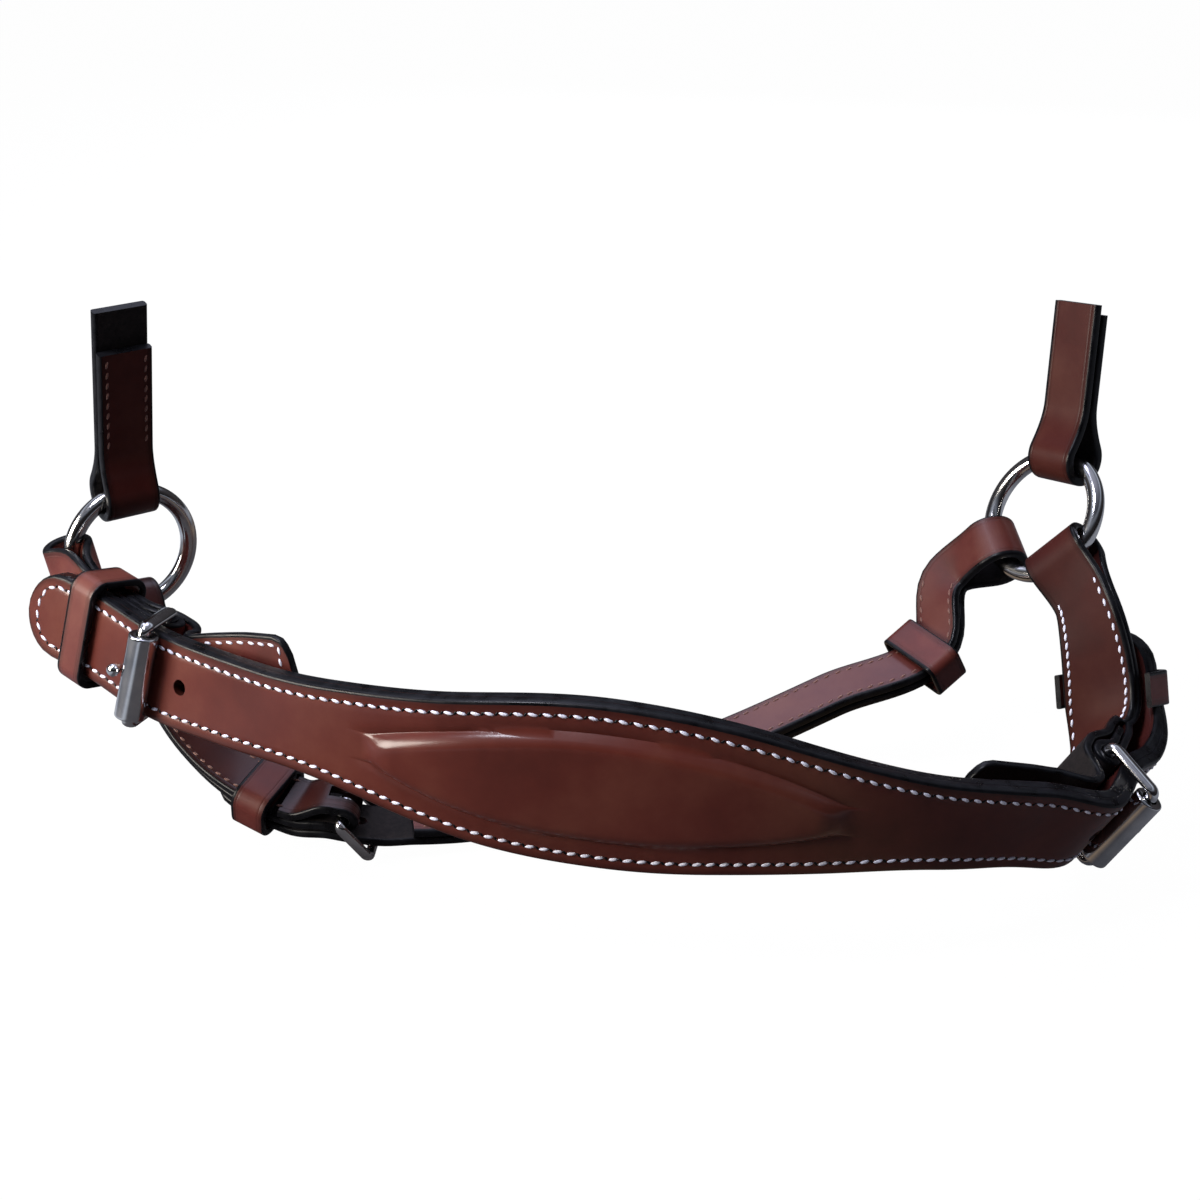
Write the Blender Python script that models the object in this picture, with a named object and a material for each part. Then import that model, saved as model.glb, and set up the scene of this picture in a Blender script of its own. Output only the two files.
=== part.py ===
"""Drop noseband of a bridle: a shaped, raised nose piece buckled to two side pieces, two rings,
two cheek straps cut where the headpiece takes over, and a buckled chin strap.

Lengths are in millimetres until a mesh is written, which turns them into metres. The origin is on
the inner face of the nose piece at its middle, +X to the viewer's right, +Y towards the horse's
jaw, +Z up. A strap's own directions are a, along it, n, out of its show side, and w, across it.
"""

import math

import bmesh
import bpy
from mathutils import Matrix, Vector

MM = 0.001
GAP = 0.3  # clearance between pieces that lie on each other

# Nose piece: two layers sewn together, wide in the middle, raised over a filler.
NOSE_LAYER = 2.85
NOSE_END_WIDTH = 25.0
NOSE_MIDDLE_WIDTH = 47.0
NOSE_SWELL_HALF_LENGTH = 100.0
NOSE_EDGE_BEVEL = 0.7
TIP_LENGTH = 11.0
PAD_HALF_LENGTH = 62.0
PAD_HALF_WIDTH = 13.0
PAD_END_HALF_WIDTH = 2.2
PAD_RISE = 2.4
PAD_SLOPE = 1.6

# Narrower straps.
SIDE_LAYER = 2.4
SIDE_WIDTH = 24.0
SIDE_RING_WIDTH = 19.0
CHEEK_LAYER = 2.8
CHEEK_WIDTH = 16.0
CHEEK_LEFT_LAP = 48.0
CHEEK_RIGHT_LAP = 43.0
CHEEK_LEFT_LENGTH = 60.0
CHEEK_RIGHT_LENGTH = 46.0
CHIN_LAYER = 2.6
CHIN_WIDTH = 15.0
STRAP_BEVEL = 0.5
SAFE_LENGTH = 47.0
SAFE_CLEARANCE = 1.35
LEFT_SAFE_SINK = 3.5
LEFT_SAFE_LIFT = 7.0
RIGHT_SAFE_SINK = 4.0

# Bends of the straps round the rings: the hollow's radius, how far its middle lies from the
# ring's middle, and the length over which the two legs close up.
SIDE_CAVITY = 4.95
SIDE_BEND_DEPTH = 17.9
CHEEK_CAVITY = 5.0
CHEEK_BEND_DEPTH = 18.8
CHIN_CAVITY = 5.9
CHIN_BEND_DEPTH = 19.2
BEND_NECK = 16.0

# Rings and the buckles of the nose piece.
RING_RADIUS = 18.5
RING_WIRE = 2.5
BAR_RADIUS = 1.8
ROLLER_RADIUS = 4.1
ROLLER_BORE = 2.25
FRAME_SIDE_CLEARANCE = 0.8
FRAME_SIDE_THICKNESS = 2.6
FRAME_SIDE_DEPTH = 4.6
PRONG_RADIUS = 1.4
PRONG_TIP_RADIUS = 1.8
PRONG_LENGTH = 20.5
PRONG_LEAN = 96.0
PRONG_EYE_RADIUS = 3.4
PRONG_EYE_WIDTH = 4.0
PRONG_SWING_SLOT = 1.6
HOLE_RADIUS = 2.2
HOLE_PITCH = 19.0

# Buckle of the chin strap.
CHIN_BAR_RADIUS = 1.4
CHIN_SIDE_THICKNESS = 2.2
CHIN_SIDE_DEPTH = 3.4
CHIN_PRONG_LENGTH = 15.5
CHIN_PRONG_RADIUS = 1.1
CHIN_PRONG_TIP_RADIUS = 1.3
CHIN_EYE_RADIUS = 2.8
CHIN_EYE_WIDTH = 3.2

# Keepers.
KEEPER_WIDTH = 10.0
KEEPER_LAYER = 2.0
CHIN_KEEPER_WIDTH = 11.0

LEATHER = ("leather_brown", (0.21, 0.07, 0.045), 0.38, 0.0)
STEEL = ("steel", (0.62, 0.63, 0.65), 0.25, 1.0)
FELT = ("filler", (0.32, 0.27, 0.2), 0.9, 0.0)


def unit(x, y, z):
    return Vector((x, y, z)).normalized()


def across(direction, wanted):
    """The unit vector nearest to the wanted one that is square to the direction."""
    return (wanted - direction * direction.dot(wanted)).normalized()


class Frame:
    """A place on a strap: a runs along it, n leaves its show side, w runs across it."""

    def __init__(self, origin, a, w, outward=None):
        self.origin = Vector(origin)
        self.a = a.normalized()
        self.w = across(self.a, w)
        self.n = self.a.cross(self.w)
        if outward and self.n.dot(outward) < 0:
            self.n = -self.n

    def point(self, a, n, w=0.0):
        return self.origin + self.a * a + self.n * n + self.w * w

    def placement(self, a=0.0, n=0.0, w=0.0):
        """Matrix whose X is a, Y is n and Z is across, at the given offset, in metres."""
        z = self.a.cross(self.n)
        turn = Matrix((self.a, self.n, z)).transposed().to_4x4()
        return Matrix.Translation(self.point(a, n, w) * MM) @ turn


class Rail:
    """A smooth line through chosen points, with the strap's width direction along it."""

    STEPS = 24

    def __init__(self, points, widths, inside=None, zero=None):
        self.inside = inside or INSIDE
        self.zero = 0.0
        self.points = []
        self.widths = []
        count = len(points)
        for i in range(count - 1):
            before = points[max(i - 1, 0)]
            after = points[min(i + 2, count - 1)]
            p, q = points[i], points[i + 1]
            span = (q - p).length
            start = self.slope(before, p, q) * span
            finish = self.slope(p, q, after) * span
            for step in range(self.STEPS + (i == count - 2)):
                t = step / self.STEPS
                self.points.append(self.hermite(p, start, q, finish, t))
                blend = t * t * (3 - 2 * t)
                self.widths.append((widths[i] * (1 - blend) + widths[i + 1] * blend).normalized())
        self.lengths = [0.0]
        for p, q in zip(self.points, self.points[1:]):
            self.lengths.append(self.lengths[-1] + (q - p).length)
        if zero:
            self.zero = self.nearest(zero)
        self.start = -self.zero
        self.end = self.length - self.zero

    @staticmethod
    def slope(before, middle, after):
        """Unit-speed direction at the middle of three points, weighted to the nearer one."""
        back, ahead = middle - before, after - middle
        if back.length < 1e-6:
            return ahead.normalized()
        if ahead.length < 1e-6:
            return back.normalized()
        return (back / back.length**2 + ahead / ahead.length**2).normalized()

    @staticmethod
    def hermite(p, start, q, finish, t):
        square, cube = t * t, t**3
        return (
            p * (2 * cube - 3 * square + 1)
            + start * (cube - 2 * square + t)
            + q * (3 * square - 2 * cube)
            + finish * (cube - square)
        )

    @property
    def length(self):
        return self.lengths[-1]

    def nearest(self, point):
        """Length along the rail at its point nearest to this one."""
        distances = [(p - point).length for p in self.points]
        return self.lengths[distances.index(min(distances))]

    def frame(self, s):
        """Frame at length s from the zero place; past either end the rail runs straight on."""
        lengths = self.lengths
        s += self.zero
        if s <= 0:
            i = 0
        elif s >= lengths[-1]:
            i = len(lengths) - 2
        else:
            i = next(k for k in range(len(lengths) - 1) if lengths[k + 1] >= s)
        p, q = self.points[i], self.points[i + 1]
        t = (s - lengths[i]) / (lengths[i + 1] - lengths[i])
        low, high = max(i - 1, 0), min(i + 2, len(lengths) - 1)
        tangent = (self.points[high] - self.points[low]).normalized()
        width = self.widths[i].lerp(self.widths[i + 1], min(max(t, 0), 1))
        place = p + (q - p) * t
        return Frame(place, tangent, width, place - self.inside)


def material(finish):
    name, colour, roughness, metallic = finish
    made = bpy.data.materials.get(name)
    if made is None:
        made = bpy.data.materials.new(name)
        made.use_nodes = True
        shader = made.node_tree.nodes["Principled BSDF"]
        shader.inputs["Base Color"].default_value = (*colour, 1.0)
        shader.inputs["Roughness"].default_value = roughness
        shader.inputs["Metallic"].default_value = metallic
    return made


def add_object(name, mesh_data, finish, helper=False, origin=None):
    """An object from a bmesh; a moving piece is given its joint's place as its origin."""
    bmesh.ops.recalc_face_normals(mesh_data, faces=mesh_data.faces)
    if origin:
        bmesh.ops.translate(mesh_data, vec=-origin * MM, verts=mesh_data.verts)
    mesh = bpy.data.meshes.new(name)
    mesh_data.to_mesh(mesh)
    mesh_data.free()
    made = bpy.data.objects.new(name, mesh)
    if origin:
        made.location = origin * MM
    bpy.context.scene.collection.objects.link(made)
    if helper:
        made.hide_render = True
        made.display_type = "WIRE"
    else:
        mesh.materials.append(material(finish))
        mesh.shade_smooth()
        mesh.set_sharp_from_angle(angle=math.radians(35))
    return made


def loft(name, rings, finish, closed=False, helper=False, origin=None):
    """A solid through rings of world points. A closed loft joins its last ring to its first."""
    made = bmesh.new()
    rows = [[made.verts.new(point * MM) for point in ring] for ring in rings]
    size = len(rings[0])
    pairs = list(zip(rows, rows[1:]))
    if closed:
        pairs.append((rows[-1], rows[0]))
    for low, high in pairs:
        for k in range(size):
            following = (k + 1) % size
            made.faces.new((low[k], low[following], high[following], high[k]))
    if not closed:
        made.faces.new(rows[0])
        made.faces.new(rows[-1])
    return add_object(name, made, finish, helper, origin)


def flat_section(half_width, low, high, bevel):
    """(w, n) outline of a leather layer with its edges dressed."""
    return [
        (-half_width + bevel, low),
        (half_width - bevel, low),
        (half_width, low + bevel),
        (half_width, high - bevel),
        (half_width - bevel, high),
        (-half_width + bevel, high),
        (-half_width, high - bevel),
        (-half_width, low + bevel),
    ]


def place_section(frame, section, a=0.0):
    return [frame.point(a, n, w) for w, n in section]


def boolean(target, other, operation):
    cut = target.modifiers.new(operation.lower(), "BOOLEAN")
    cut.object = other
    cut.operation = operation
    cut.solver = "EXACT"


def cylinder(name, radius, length, place, finish=STEEL, sides=16, helper=False, far_radius=None):
    """A cylinder or cone whose axis is the placement's Z, centred on it."""
    made = bmesh.new()
    bmesh.ops.create_cone(
        made,
        cap_ends=True,
        segments=sides,
        radius1=radius * MM,
        radius2=(radius if far_radius is None else far_radius) * MM,
        depth=length * MM,
        matrix=place,
    )
    return add_object(name, made, finish, helper)


# A point inside the loop of straps: every strap's show side faces away from it.
INSIDE = Vector((0, 75, 25))

UPRIGHT = Vector((0, 0, 1))

# The nose piece's line, as points on its show face, from the left tip to the right tip. The
# buckles' own frames give the points beside them, so that strap and buckle stay in line.
LEFT_BUCKLE = Frame((-127.0, 53.0, 4.0), unit(-0.75, 0.65, 0.12), unit(0.24, 0.1, 0.97), UPRIGHT)
RIGHT_BUCKLE = Frame(
    (139.5, 30.5, -28.5), unit(0.4, 0.9, -0.05), unit(0.505, -0.13, 0.857), unit(0.7, -0.5, -0.5)
)
LEFT_RING = Frame((-141.0, 109.8, 15.5), unit(0.82, 0.57, 0), UPRIGHT, unit(0.57, -0.82, 0))
RIGHT_RING = Frame(
    (133.2, 114.1, 24.7), unit(0.592, -0.797, 0.128), unit(0.35, 0.397, 0.852), unit(-0.73, -0.459, 0.514)
)
LEFT_SIDE_DEGREES = 190.0
LEFT_SIDE_WAY = unit(0.396, -0.918, 0.011)
LEFT_CHEEK_WAY = unit(0.089, -0.198, 0.976)
RIGHT_CHEEK_WAY = unit(0.055, 0.2, 0.98)
RIGHT_SIDE_DEGREES = -40.0
CHIN_LEFT_DEGREES = -95.0
CHIN_RIGHT_DEGREES = 228.0

NOSE_POINTS = [
    LEFT_BUCKLE.point(48.0, 3.0),
    LEFT_BUCKLE.point(26.0, 0.2),
    LEFT_BUCKLE.point(-5.0, 0.0),
    Vector((-104.5, 36.5, 3.0)),
    Vector((-70.2, 15.7, 3.0)),
    Vector((-38.1, 1.5, 1.5)),
    Vector((0.0, -6.0, 0.0)),
    Vector((30.3, -9.5, -2.4)),
    Vector((60.0, -9.0, -7.2)),
    Vector((89.3, -3.0, -13.6)),
    Vector((112.5, 5.8, -19.6)),
    RIGHT_BUCKLE.point(-15.0, -0.8),
    RIGHT_BUCKLE.point(-5.0, 0.0),
    RIGHT_BUCKLE.point(8.0, 0.0),
    RIGHT_BUCKLE.point(24.0, 3.6, 0.0),
]
NOSE_WIDTH_DIRECTIONS = [
    LEFT_BUCKLE.w,
    LEFT_BUCKLE.w,
    LEFT_BUCKLE.w,
    unit(0.14, 0.1, 0.98),
    unit(0.05, 0.03, 1.0),
    UPRIGHT,
    UPRIGHT,
    unit(0.02, 0.0, 1.0),
    unit(0.06, 0.0, 1.0),
    unit(0.12, -0.03, 0.98),
    unit(0.25, -0.1, 0.94),
    RIGHT_BUCKLE.w,
    RIGHT_BUCKLE.w,
    RIGHT_BUCKLE.w,
    RIGHT_BUCKLE.w,
]

# The chin strap's line, midway between its two layers, from the right ring to the left one.
CHIN_BUCKLE_POINT = Vector((-72.8, 50.2, -41.4))
CHIN_KEEPER_LEFT = Vector((-95.3, 55.8, -36.4))
CHIN_KEEPER_RIGHT = Vector((102.1, 104.8, -14.2))
CHIN_LINE = [
    CHIN_KEEPER_RIGHT,
    Vector((69.8, 95.7, -26.7)),
    Vector((39.1, 85.6, -36.6)),
    Vector((-11.7, 65.0, -45.2)),
    Vector((-43.2, 53.9, -45.3)),
    CHIN_BUCKLE_POINT,
    CHIN_KEEPER_LEFT,
    Vector((-117.0, 73.0, -28.0)),
]
CHIN_WIDTHS = [
    unit(0.38, -0.92, -0.15),
    unit(0.38, -0.92, -0.15),
    unit(0.36, -0.92, -0.15),
    unit(0.3, -0.94, -0.15),
    unit(0.25, -0.95, -0.18),
    unit(0.15, -0.96, -0.2),
    unit(-0.1, -0.9, -0.35),
    unit(-0.5, -0.7, -0.45),
]

# Heel bar, roller and strap layers, as heights n over the nose piece's show face.
HEEL = (4.0, -10.7)
ROLLER = (-3.5, 4.5)
SIDE_MIDDLE = -10.2


def around_ring(ring, degrees):
    """Directions out of the ring's centre and along its wire at this angle, in its plane."""
    turn = math.radians(degrees)
    out = ring.a * math.cos(turn) + ring.w * math.sin(turn)
    along = ring.w * math.cos(turn) - ring.a * math.sin(turn)
    return out, along


def loop_place(ring, degrees, depth):
    """Centre of a strap's bend round the wire, and the wire's direction there."""
    out, along = around_ring(ring, degrees)
    return ring.origin + out * depth, along


def arc(centre, radius, start, finish, steps):
    """Points on an arc, in degrees, as (along, height) pairs."""
    made = []
    for step in range(steps + 1):
        turn = math.radians(start + (finish - start) * step / steps)
        made.append((centre[0] + radius * math.cos(turn), centre[1] + radius * math.sin(turn)))
    return made


def ease(start, finish, steps):
    """Points from one (along, height) to another, level at both ends."""
    made = []
    for step in range(steps + 1):
        t = step / steps
        eased = t * t * (3 - 2 * t)
        made.append((start[0] + (finish[0] - start[0]) * t, start[1] + (finish[1] - start[1]) * eased))
    return made


def bend_line(centre, radius, leg, neck, open_angle=118.0):
    """The strap's line into, round and out of a bend whose open side faces back along the rail."""
    round_part = arc((centre, 0), radius, open_angle, -open_angle, 10)
    start = Vector((centre - neck, leg))
    finish = Vector(round_part[0])
    turn = math.radians(open_angle)
    run = (finish - start).length
    arriving = Vector((math.sin(turn), -math.cos(turn))) * run
    way_in = []
    for step in range(4):
        place = Rail.hermite(start, Vector((run, 0)), finish, arriving, step / 4)
        way_in.append((place.x, place.y))
    way_out = [(x, -y) for x, y in reversed(way_in)]
    return way_in + round_part + way_out


def strip(name, rail, line, width, thickness, tips=(0, 0), origin=None):
    """A leather strip whose line is (along, height) pairs over a rail; width is a number or a
    function of the length along the rail. A tip's length rounds that end in the width."""
    places = []
    for along, height in line:
        frame = rail.frame(along)
        places.append((frame.point(0, height), frame.w, along))
    run = [0.0]
    for (p, _, _), (q, _, _) in zip(places, places[1:]):
        run.append(run[-1] + (q - p).length)
    rings = []
    for i, (place, w, along) in enumerate(places):
        ahead = places[min(i + 1, len(places) - 1)][0]
        back = places[max(i - 1, 0)][0]
        frame = Frame(place, ahead - back, w)
        half = (width(along) if callable(width) else width) / 2
        half *= tip_share(run[i], tips[0]) * tip_share(run[-1] - run[i], tips[1])
        section = flat_section(half, -thickness / 2, thickness / 2, min(STRAP_BEVEL, half * 0.4))
        rings.append(place_section(frame, section))
    return loft(name, rings, LEATHER, origin=origin)


def tip_share(distance, length):
    """Share of the full width at this distance from a rounded tip."""
    if distance >= length:
        return 1.0
    t = 1 - distance / length
    return max(math.sqrt(max(1 - t * t, 0)), 0.3)


def steps_to(start, finish, size):
    """Lengths from start to finish at about this spacing, both ends in."""
    count = max(round(abs(finish - start) / size), 1)
    return [start + (finish - start) * i / count for i in range(count + 1)]


def nose_half_width(s):
    swell = max(1 - abs(s) / NOSE_SWELL_HALF_LENGTH, 0)
    share = (1 - math.cos(math.pi * swell)) / 2
    return (NOSE_END_WIDTH + (NOSE_MIDDLE_WIDTH - NOSE_END_WIDTH) * share) / 2


def pad_shape(s):
    """Half width and rise of the raised part at this distance from the middle."""
    share = max(1 - (s / PAD_HALF_LENGTH) ** 2, 0)
    half = PAD_END_HALF_WIDTH + (PAD_HALF_WIDTH - PAD_END_HALF_WIDTH) * share
    return half, PAD_RISE * min(share / 0.18, 1) ** 0.5 if share else 0.0


def nose_stations(rail, middle):
    places = [0, 1.2, 4.0, TIP_LENGTH]
    inner = steps_to(TIP_LENGTH, middle - PAD_HALF_LENGTH, 8)[1:]
    pad = steps_to(middle - PAD_HALF_LENGTH, middle + PAD_HALF_LENGTH, 6.5)[1:]
    outer = steps_to(middle + PAD_HALF_LENGTH, rail.length - TIP_LENGTH, 8)[1:]
    ends = [rail.length - place for place in reversed(places[:-1])]
    return places + inner + pad + outer + ends


def build_nose(rail, middle):
    face_rings = []
    lining_rings = []
    for s in nose_stations(rail, middle):
        half = nose_half_width(s - middle)
        half *= tip_share(s, TIP_LENGTH) * tip_share(rail.length - s, TIP_LENGTH)
        frame = rail.frame(s)
        pad, rise = pad_shape(s - middle)
        pad = min(pad, half * 0.56)
        edge = NOSE_EDGE_BEVEL
        foot = pad + PAD_SLOPE
        raised = [(foot, 0), (pad, rise), (0, rise * 1.08), (-pad, rise), (-foot, 0)]
        top = [(half - edge, 0), *raised, (edge - half, 0)]
        under = [(x, y - NOSE_LAYER) for x, y in reversed(raised)]
        sides = [(-half, -edge), (-half, -NOSE_LAYER)]
        face_rings.append(place_section(frame, top + sides + under + [(half, -NOSE_LAYER), (half, -edge)]))
        low, high = -2 * NOSE_LAYER - GAP, -NOSE_LAYER - GAP
        lining = [(half, high), (-half, high), (-half, low + edge), (edge - half, low)]
        lining += [(half - edge, low), (half, low + edge)]
        lining_rings.append(place_section(frame, lining))
    face = loft("nose_face", face_rings, LEATHER)
    lining = loft("nose_lining", lining_rings, LEATHER)
    filler_rings = []
    for s in steps_to(middle - PAD_HALF_LENGTH, middle + PAD_HALF_LENGTH, 6.5)[1:-1]:
        frame = rail.frame(s)
        pad, rise = pad_shape(s - middle)
        pad -= GAP
        low = -NOSE_LAYER
        high = low + rise - GAP
        section = [(-pad, low), (pad, low), (pad, high - 0.2)]
        section += [(pad * 0.5, high), (-pad * 0.5, high), (-pad, high - 0.2)]
        filler_rings.append(place_section(frame, section))
    loft("nose_filler", filler_rings, FELT)
    for side, buckle in (("left", LEFT_BUCKLE), ("right", RIGHT_BUCKLE)):
        for number, (low, high) in enumerate(((3.2, 3.2 + PRONG_SWING_SLOT), (3.2 - HOLE_PITCH,) * 2)):
            hole = hole_cutter(f"hole_{side}_{number}", nose_frame_at(rail, buckle, low), high - low)
            boolean(face, hole, "DIFFERENCE")
            boolean(lining, hole, "DIFFERENCE")


def nose_frame_at(rail, buckle, a):
    if abs(a) < 10:
        return Frame(buckle.point(a, 0), buckle.a, buckle.w, buckle.n)
    found = rail.frame(rail.nearest(buckle.point(a, 0)))
    return Frame(found.origin, buckle.a, found.w, found.n)


def hole_cutter(name, frame, stretch, radius=HOLE_RADIUS, depth=9):
    outline = arc((stretch, 0), radius, -80, 80, 7) + arc((0, 0), radius, 100, 260, 7)
    rings = [[frame.point(x, n, y) for x, y in outline] for n in (-depth, 4)]
    return loft(name, rings, STEEL, helper=True)


def build_ring(name, ring):
    rings = []
    for step in range(36):
        out, _ = around_ring(ring, step * 10)
        middle = ring.origin + out * RING_RADIUS
        wire = [(math.cos(k * math.pi / 5), math.sin(k * math.pi / 5)) for k in range(10)]
        rings.append([middle + (out * x + ring.n * y) * RING_WIRE for x, y in wire])
    loft(name, rings, STEEL, closed=True, origin=ring.origin)


def rounded_loop(half_width, low, high, radius, steps):
    """Outline of a rounded rectangle in (across, up), with its outward direction at each point."""
    corners = ((half_width - radius, high - radius, 0), (radius - half_width, high - radius, 90))
    corners += ((radius - half_width, low + radius, 180), (half_width - radius, low + radius, 270))
    made = []
    for x, y, start in corners:
        for step in range(steps + 1):
            turn = math.radians(start + 90 * step / steps)
            made.append((x + radius * math.cos(turn), y + radius * math.sin(turn), turn))
    return made


def build_frame(name, place, reach, strap_width, bar, side_thickness, side_depth, origin=None):
    """A buckle frame: round heel and front bars joined by flat sides. The place's origin is the
    heel bar's middle, a points at the front bar and w along the bars."""
    half = strap_width / 2 + FRAME_SIDE_CLEARANCE + side_thickness / 2
    rings = []
    for x, y, turn in rounded_loop(half, 0, reach, bar, 4):
        share = abs(math.cos(turn)) ** 2
        thick = bar * (1 - share) + side_thickness / 2 * share
        deep = bar * (1 - share) + side_depth / 2 * share
        ring = []
        for k in range(10):
            around = math.tau * k / 10
            out = thick * math.cos(around)
            height = deep * math.sin(around)
            ring.append(place.point(y + out * math.sin(turn), height, x + out * math.cos(turn)))
        rings.append(ring)
    return loft(name, rings, STEEL, closed=True, origin=origin)


def build_roller(name, place):
    rings = []
    length = NOSE_END_WIDTH / 2 - 0.1
    profile = ((ROLLER_BORE, -length), (ROLLER_RADIUS - 0.4, -length), (ROLLER_RADIUS, 0.4 - length))
    profile += ((ROLLER_RADIUS, length - 0.4), (ROLLER_RADIUS - 0.4, length), (ROLLER_BORE, length))
    for k in range(20):
        turn = math.tau * k / 20
        rings.append([place.point(r * math.cos(turn), r * math.sin(turn), x) for r, x in profile])
    loft(name, rings, STEEL, closed=True, origin=place.origin)


def build_prong(name, place, length, radius, tip_radius, eye_radius, eye_width, bore):
    """A prong whose eye turns on the heel bar; the place's a points along the prong."""
    rings = []
    profile = ((0, radius), (0.5, radius), (0.82, radius * 0.9))
    profile += ((0.9, tip_radius), (0.97, tip_radius), (1, tip_radius * 0.5))
    for share, size in profile:
        ring = []
        for k in range(12):
            turn = math.tau * k / 12
            ring.append(place.point(share * length, size * math.cos(turn), size * math.sin(turn)))
        rings.append(ring)
    prong = loft(name, rings, STEEL, origin=place.origin)
    eye = cylinder(name + "_eye", eye_radius, eye_width, place.placement(), helper=True)
    hole = cylinder(name + "_bore", bore, eye_width * 3, place.placement(), helper=True)
    boolean(prong, eye, "UNION")
    boolean(prong, hole, "DIFFERENCE")


def build_keeper(name, frame, half_width, low, high, width, origin=None, foot=None):
    """A leather loop round the straps; with a foot it is open, its two ends stopping there."""
    rings = []
    middle = KEEPER_LAYER / 2
    outline = rounded_loop(half_width + middle, low - middle, high + middle, middle + 0.6, 3)
    if foot is not None:
        above = [place for place in outline if place[1] > foot]
        outline = [(half_width + middle, foot, 0.0), *above, (-half_width - middle, foot, math.pi)]
    for x, y, turn in outline:
        section = flat_section(width / 2, -middle, middle, 0.4)
        rings.append([frame.point(a, y + t * math.sin(turn), x + t * math.cos(turn)) for a, t in section])
    loft(name, rings, LEATHER, closed=foot is None, origin=origin)


def side_rail(nose, buckle, ring, degrees, leaving, sink=0.0, lift=0.0):
    """The side piece's line from behind the nose piece, through the buckle, to its bend. The end
    behind the nose piece sinks away from it and lifts above it."""
    centre, along = loop_place(ring, degrees, SIDE_BEND_DEPTH)
    along = across(leaving, along if along.dot(buckle.w) > 0 else -along)
    points = [buckle.point(a, SIDE_MIDDLE) for a in (-6, 0, 22, 28)]
    points += [centre + leaving * BEND_NECK, centre]
    widths = [buckle.w] * 4 + [buckle.w * 2 + along, along]
    if nose:
        for share, a in ((0.15, -14), (0.45, -22), (0.7, -30), (0.88, -38), (1, -SAFE_LENGTH)):
            frame = nose.frame(nose.nearest(buckle.point(a, 0)))
            up = 1 if frame.w.dot(buckle.w) > 0 else -1
            points.insert(0, frame.point(0, SIDE_MIDDLE - SAFE_CLEARANCE - sink * share, up * lift * share))
            widths.insert(0, frame.w * up)
    return Rail(points, widths, zero=buckle.point(0, SIDE_MIDDLE))


def build_side(name, rail, buckle):
    """One strip: turned back round the heel bar, out to the ring, back, and on as the safe."""
    middle = HEEL[1] - SIDE_MIDDLE
    wrap = BAR_RADIUS + 0.2 + SIDE_LAYER / 2
    step = SIDE_LAYER + GAP
    leg = step / 2
    centre = rail.end
    line = [(22, 0), (17, 0)] + ease((13.5, 0), (5.2, middle - wrap), 4)
    line += arc((HEEL[0], middle), wrap, -90, -270, 10)
    line += [(8, step), (12, step), (17, step)] + ease((22, step), (32, leg), 4)
    neck = centre - BEND_NECK
    line += [(s, leg) for s in steps_to(32, neck, 5)[1:-1]]
    line += bend_line(centre, SIDE_CAVITY + SIDE_LAYER / 2, leg, BEND_NECK)
    line += [(s, -leg) for s in steps_to(neck, 32, 5)[1:-1]]
    line += ease((32, -leg), (22, -step), 4) + ease((17.5, -step - 0.05), (5.5, middle - wrap - step), 5)
    line += ease((1.5, middle - wrap - step), (-13, step), 7)
    line += [(s, step) for s in steps_to(-13, 4 - SAFE_LENGTH, 6)[1:]]
    line += [(-SAFE_LENGTH + 1.2, step), (-SAFE_LENGTH, step)]

    def width(along):
        share = min(max((along - 34) / (neck - 34), 0), 1)
        return SIDE_WIDTH + (SIDE_RING_WIDTH - SIDE_WIDTH) * share

    made = strip(name, rail, line, width, SIDE_LAYER, tips=(0, 6))
    low = HEEL[1] - wrap - SIDE_LAYER / 2 - GAP / 2
    slot = box_cutter(name + "_slot", buckle, (-2.2, 9.2), (low, -6.1), PRONG_EYE_WIDTH / 2 + 0.6)
    boolean(made, slot, "DIFFERENCE")


def box_cutter(name, frame, along, height, half_width):
    rings = []
    for a in along:
        low, high = height
        corners = ((low, -half_width), (high, -half_width), (high, half_width), (low, half_width))
        rings.append([frame.point(a, n, w) for n, w in corners])
    return loft(name, rings, STEEL, helper=True)


def build_buckle(side, buckle):
    rise = Vector((ROLLER[0] - HEEL[0], ROLLER[1] - HEEL[1]))
    up = buckle.a * rise.x + buckle.n * rise.y
    heel = buckle.point(*HEEL)
    place = Frame(heel, up, buckle.w)
    name = "buckle_frame_" + side
    sides = FRAME_SIDE_THICKNESS, FRAME_SIDE_DEPTH
    build_frame(name, place, rise.length, NOSE_END_WIDTH, BAR_RADIUS, *sides)
    build_roller("roller_" + side, Frame(buckle.point(*ROLLER), buckle.a, buckle.w, buckle.n))
    lean = math.radians(PRONG_LEAN)
    prong = Frame(heel, buckle.a * math.cos(lean) + buckle.n * math.sin(lean), buckle.w)
    eye = PRONG_EYE_RADIUS, PRONG_EYE_WIDTH, BAR_RADIUS + GAP
    build_prong("prong_" + side, prong, PRONG_LENGTH, PRONG_RADIUS, PRONG_TIP_RADIUS, *eye)


def build_cheek(side, ring, direction, length, lap, behind):
    """A cheek strap, doubled round the ring and cut square at the top, with the lap in front."""
    centre, along = loop_place(ring, 90, CHEEK_BEND_DEPTH)
    up = across(along, direction)
    rail = Rail([centre + up * length, centre + up * BEND_NECK, centre], [along] * 3, inside=centre + behind)
    leg = (CHEEK_LAYER + GAP) / 2
    neck = rail.end - BEND_NECK
    line = [(s, leg) for s in steps_to(rail.end - lap, neck, 12)[:-1]]
    line += bend_line(rail.end, CHEEK_CAVITY + CHEEK_LAYER / 2, leg, BEND_NECK)
    line += [(s, -leg) for s in steps_to(neck, 0, 12)[1:]]
    out, _ = around_ring(ring, 90)
    strip("cheek_strap_" + side, rail, line, CHEEK_WIDTH, CHEEK_LAYER, origin=ring.origin + out * RING_RADIUS)


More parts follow.
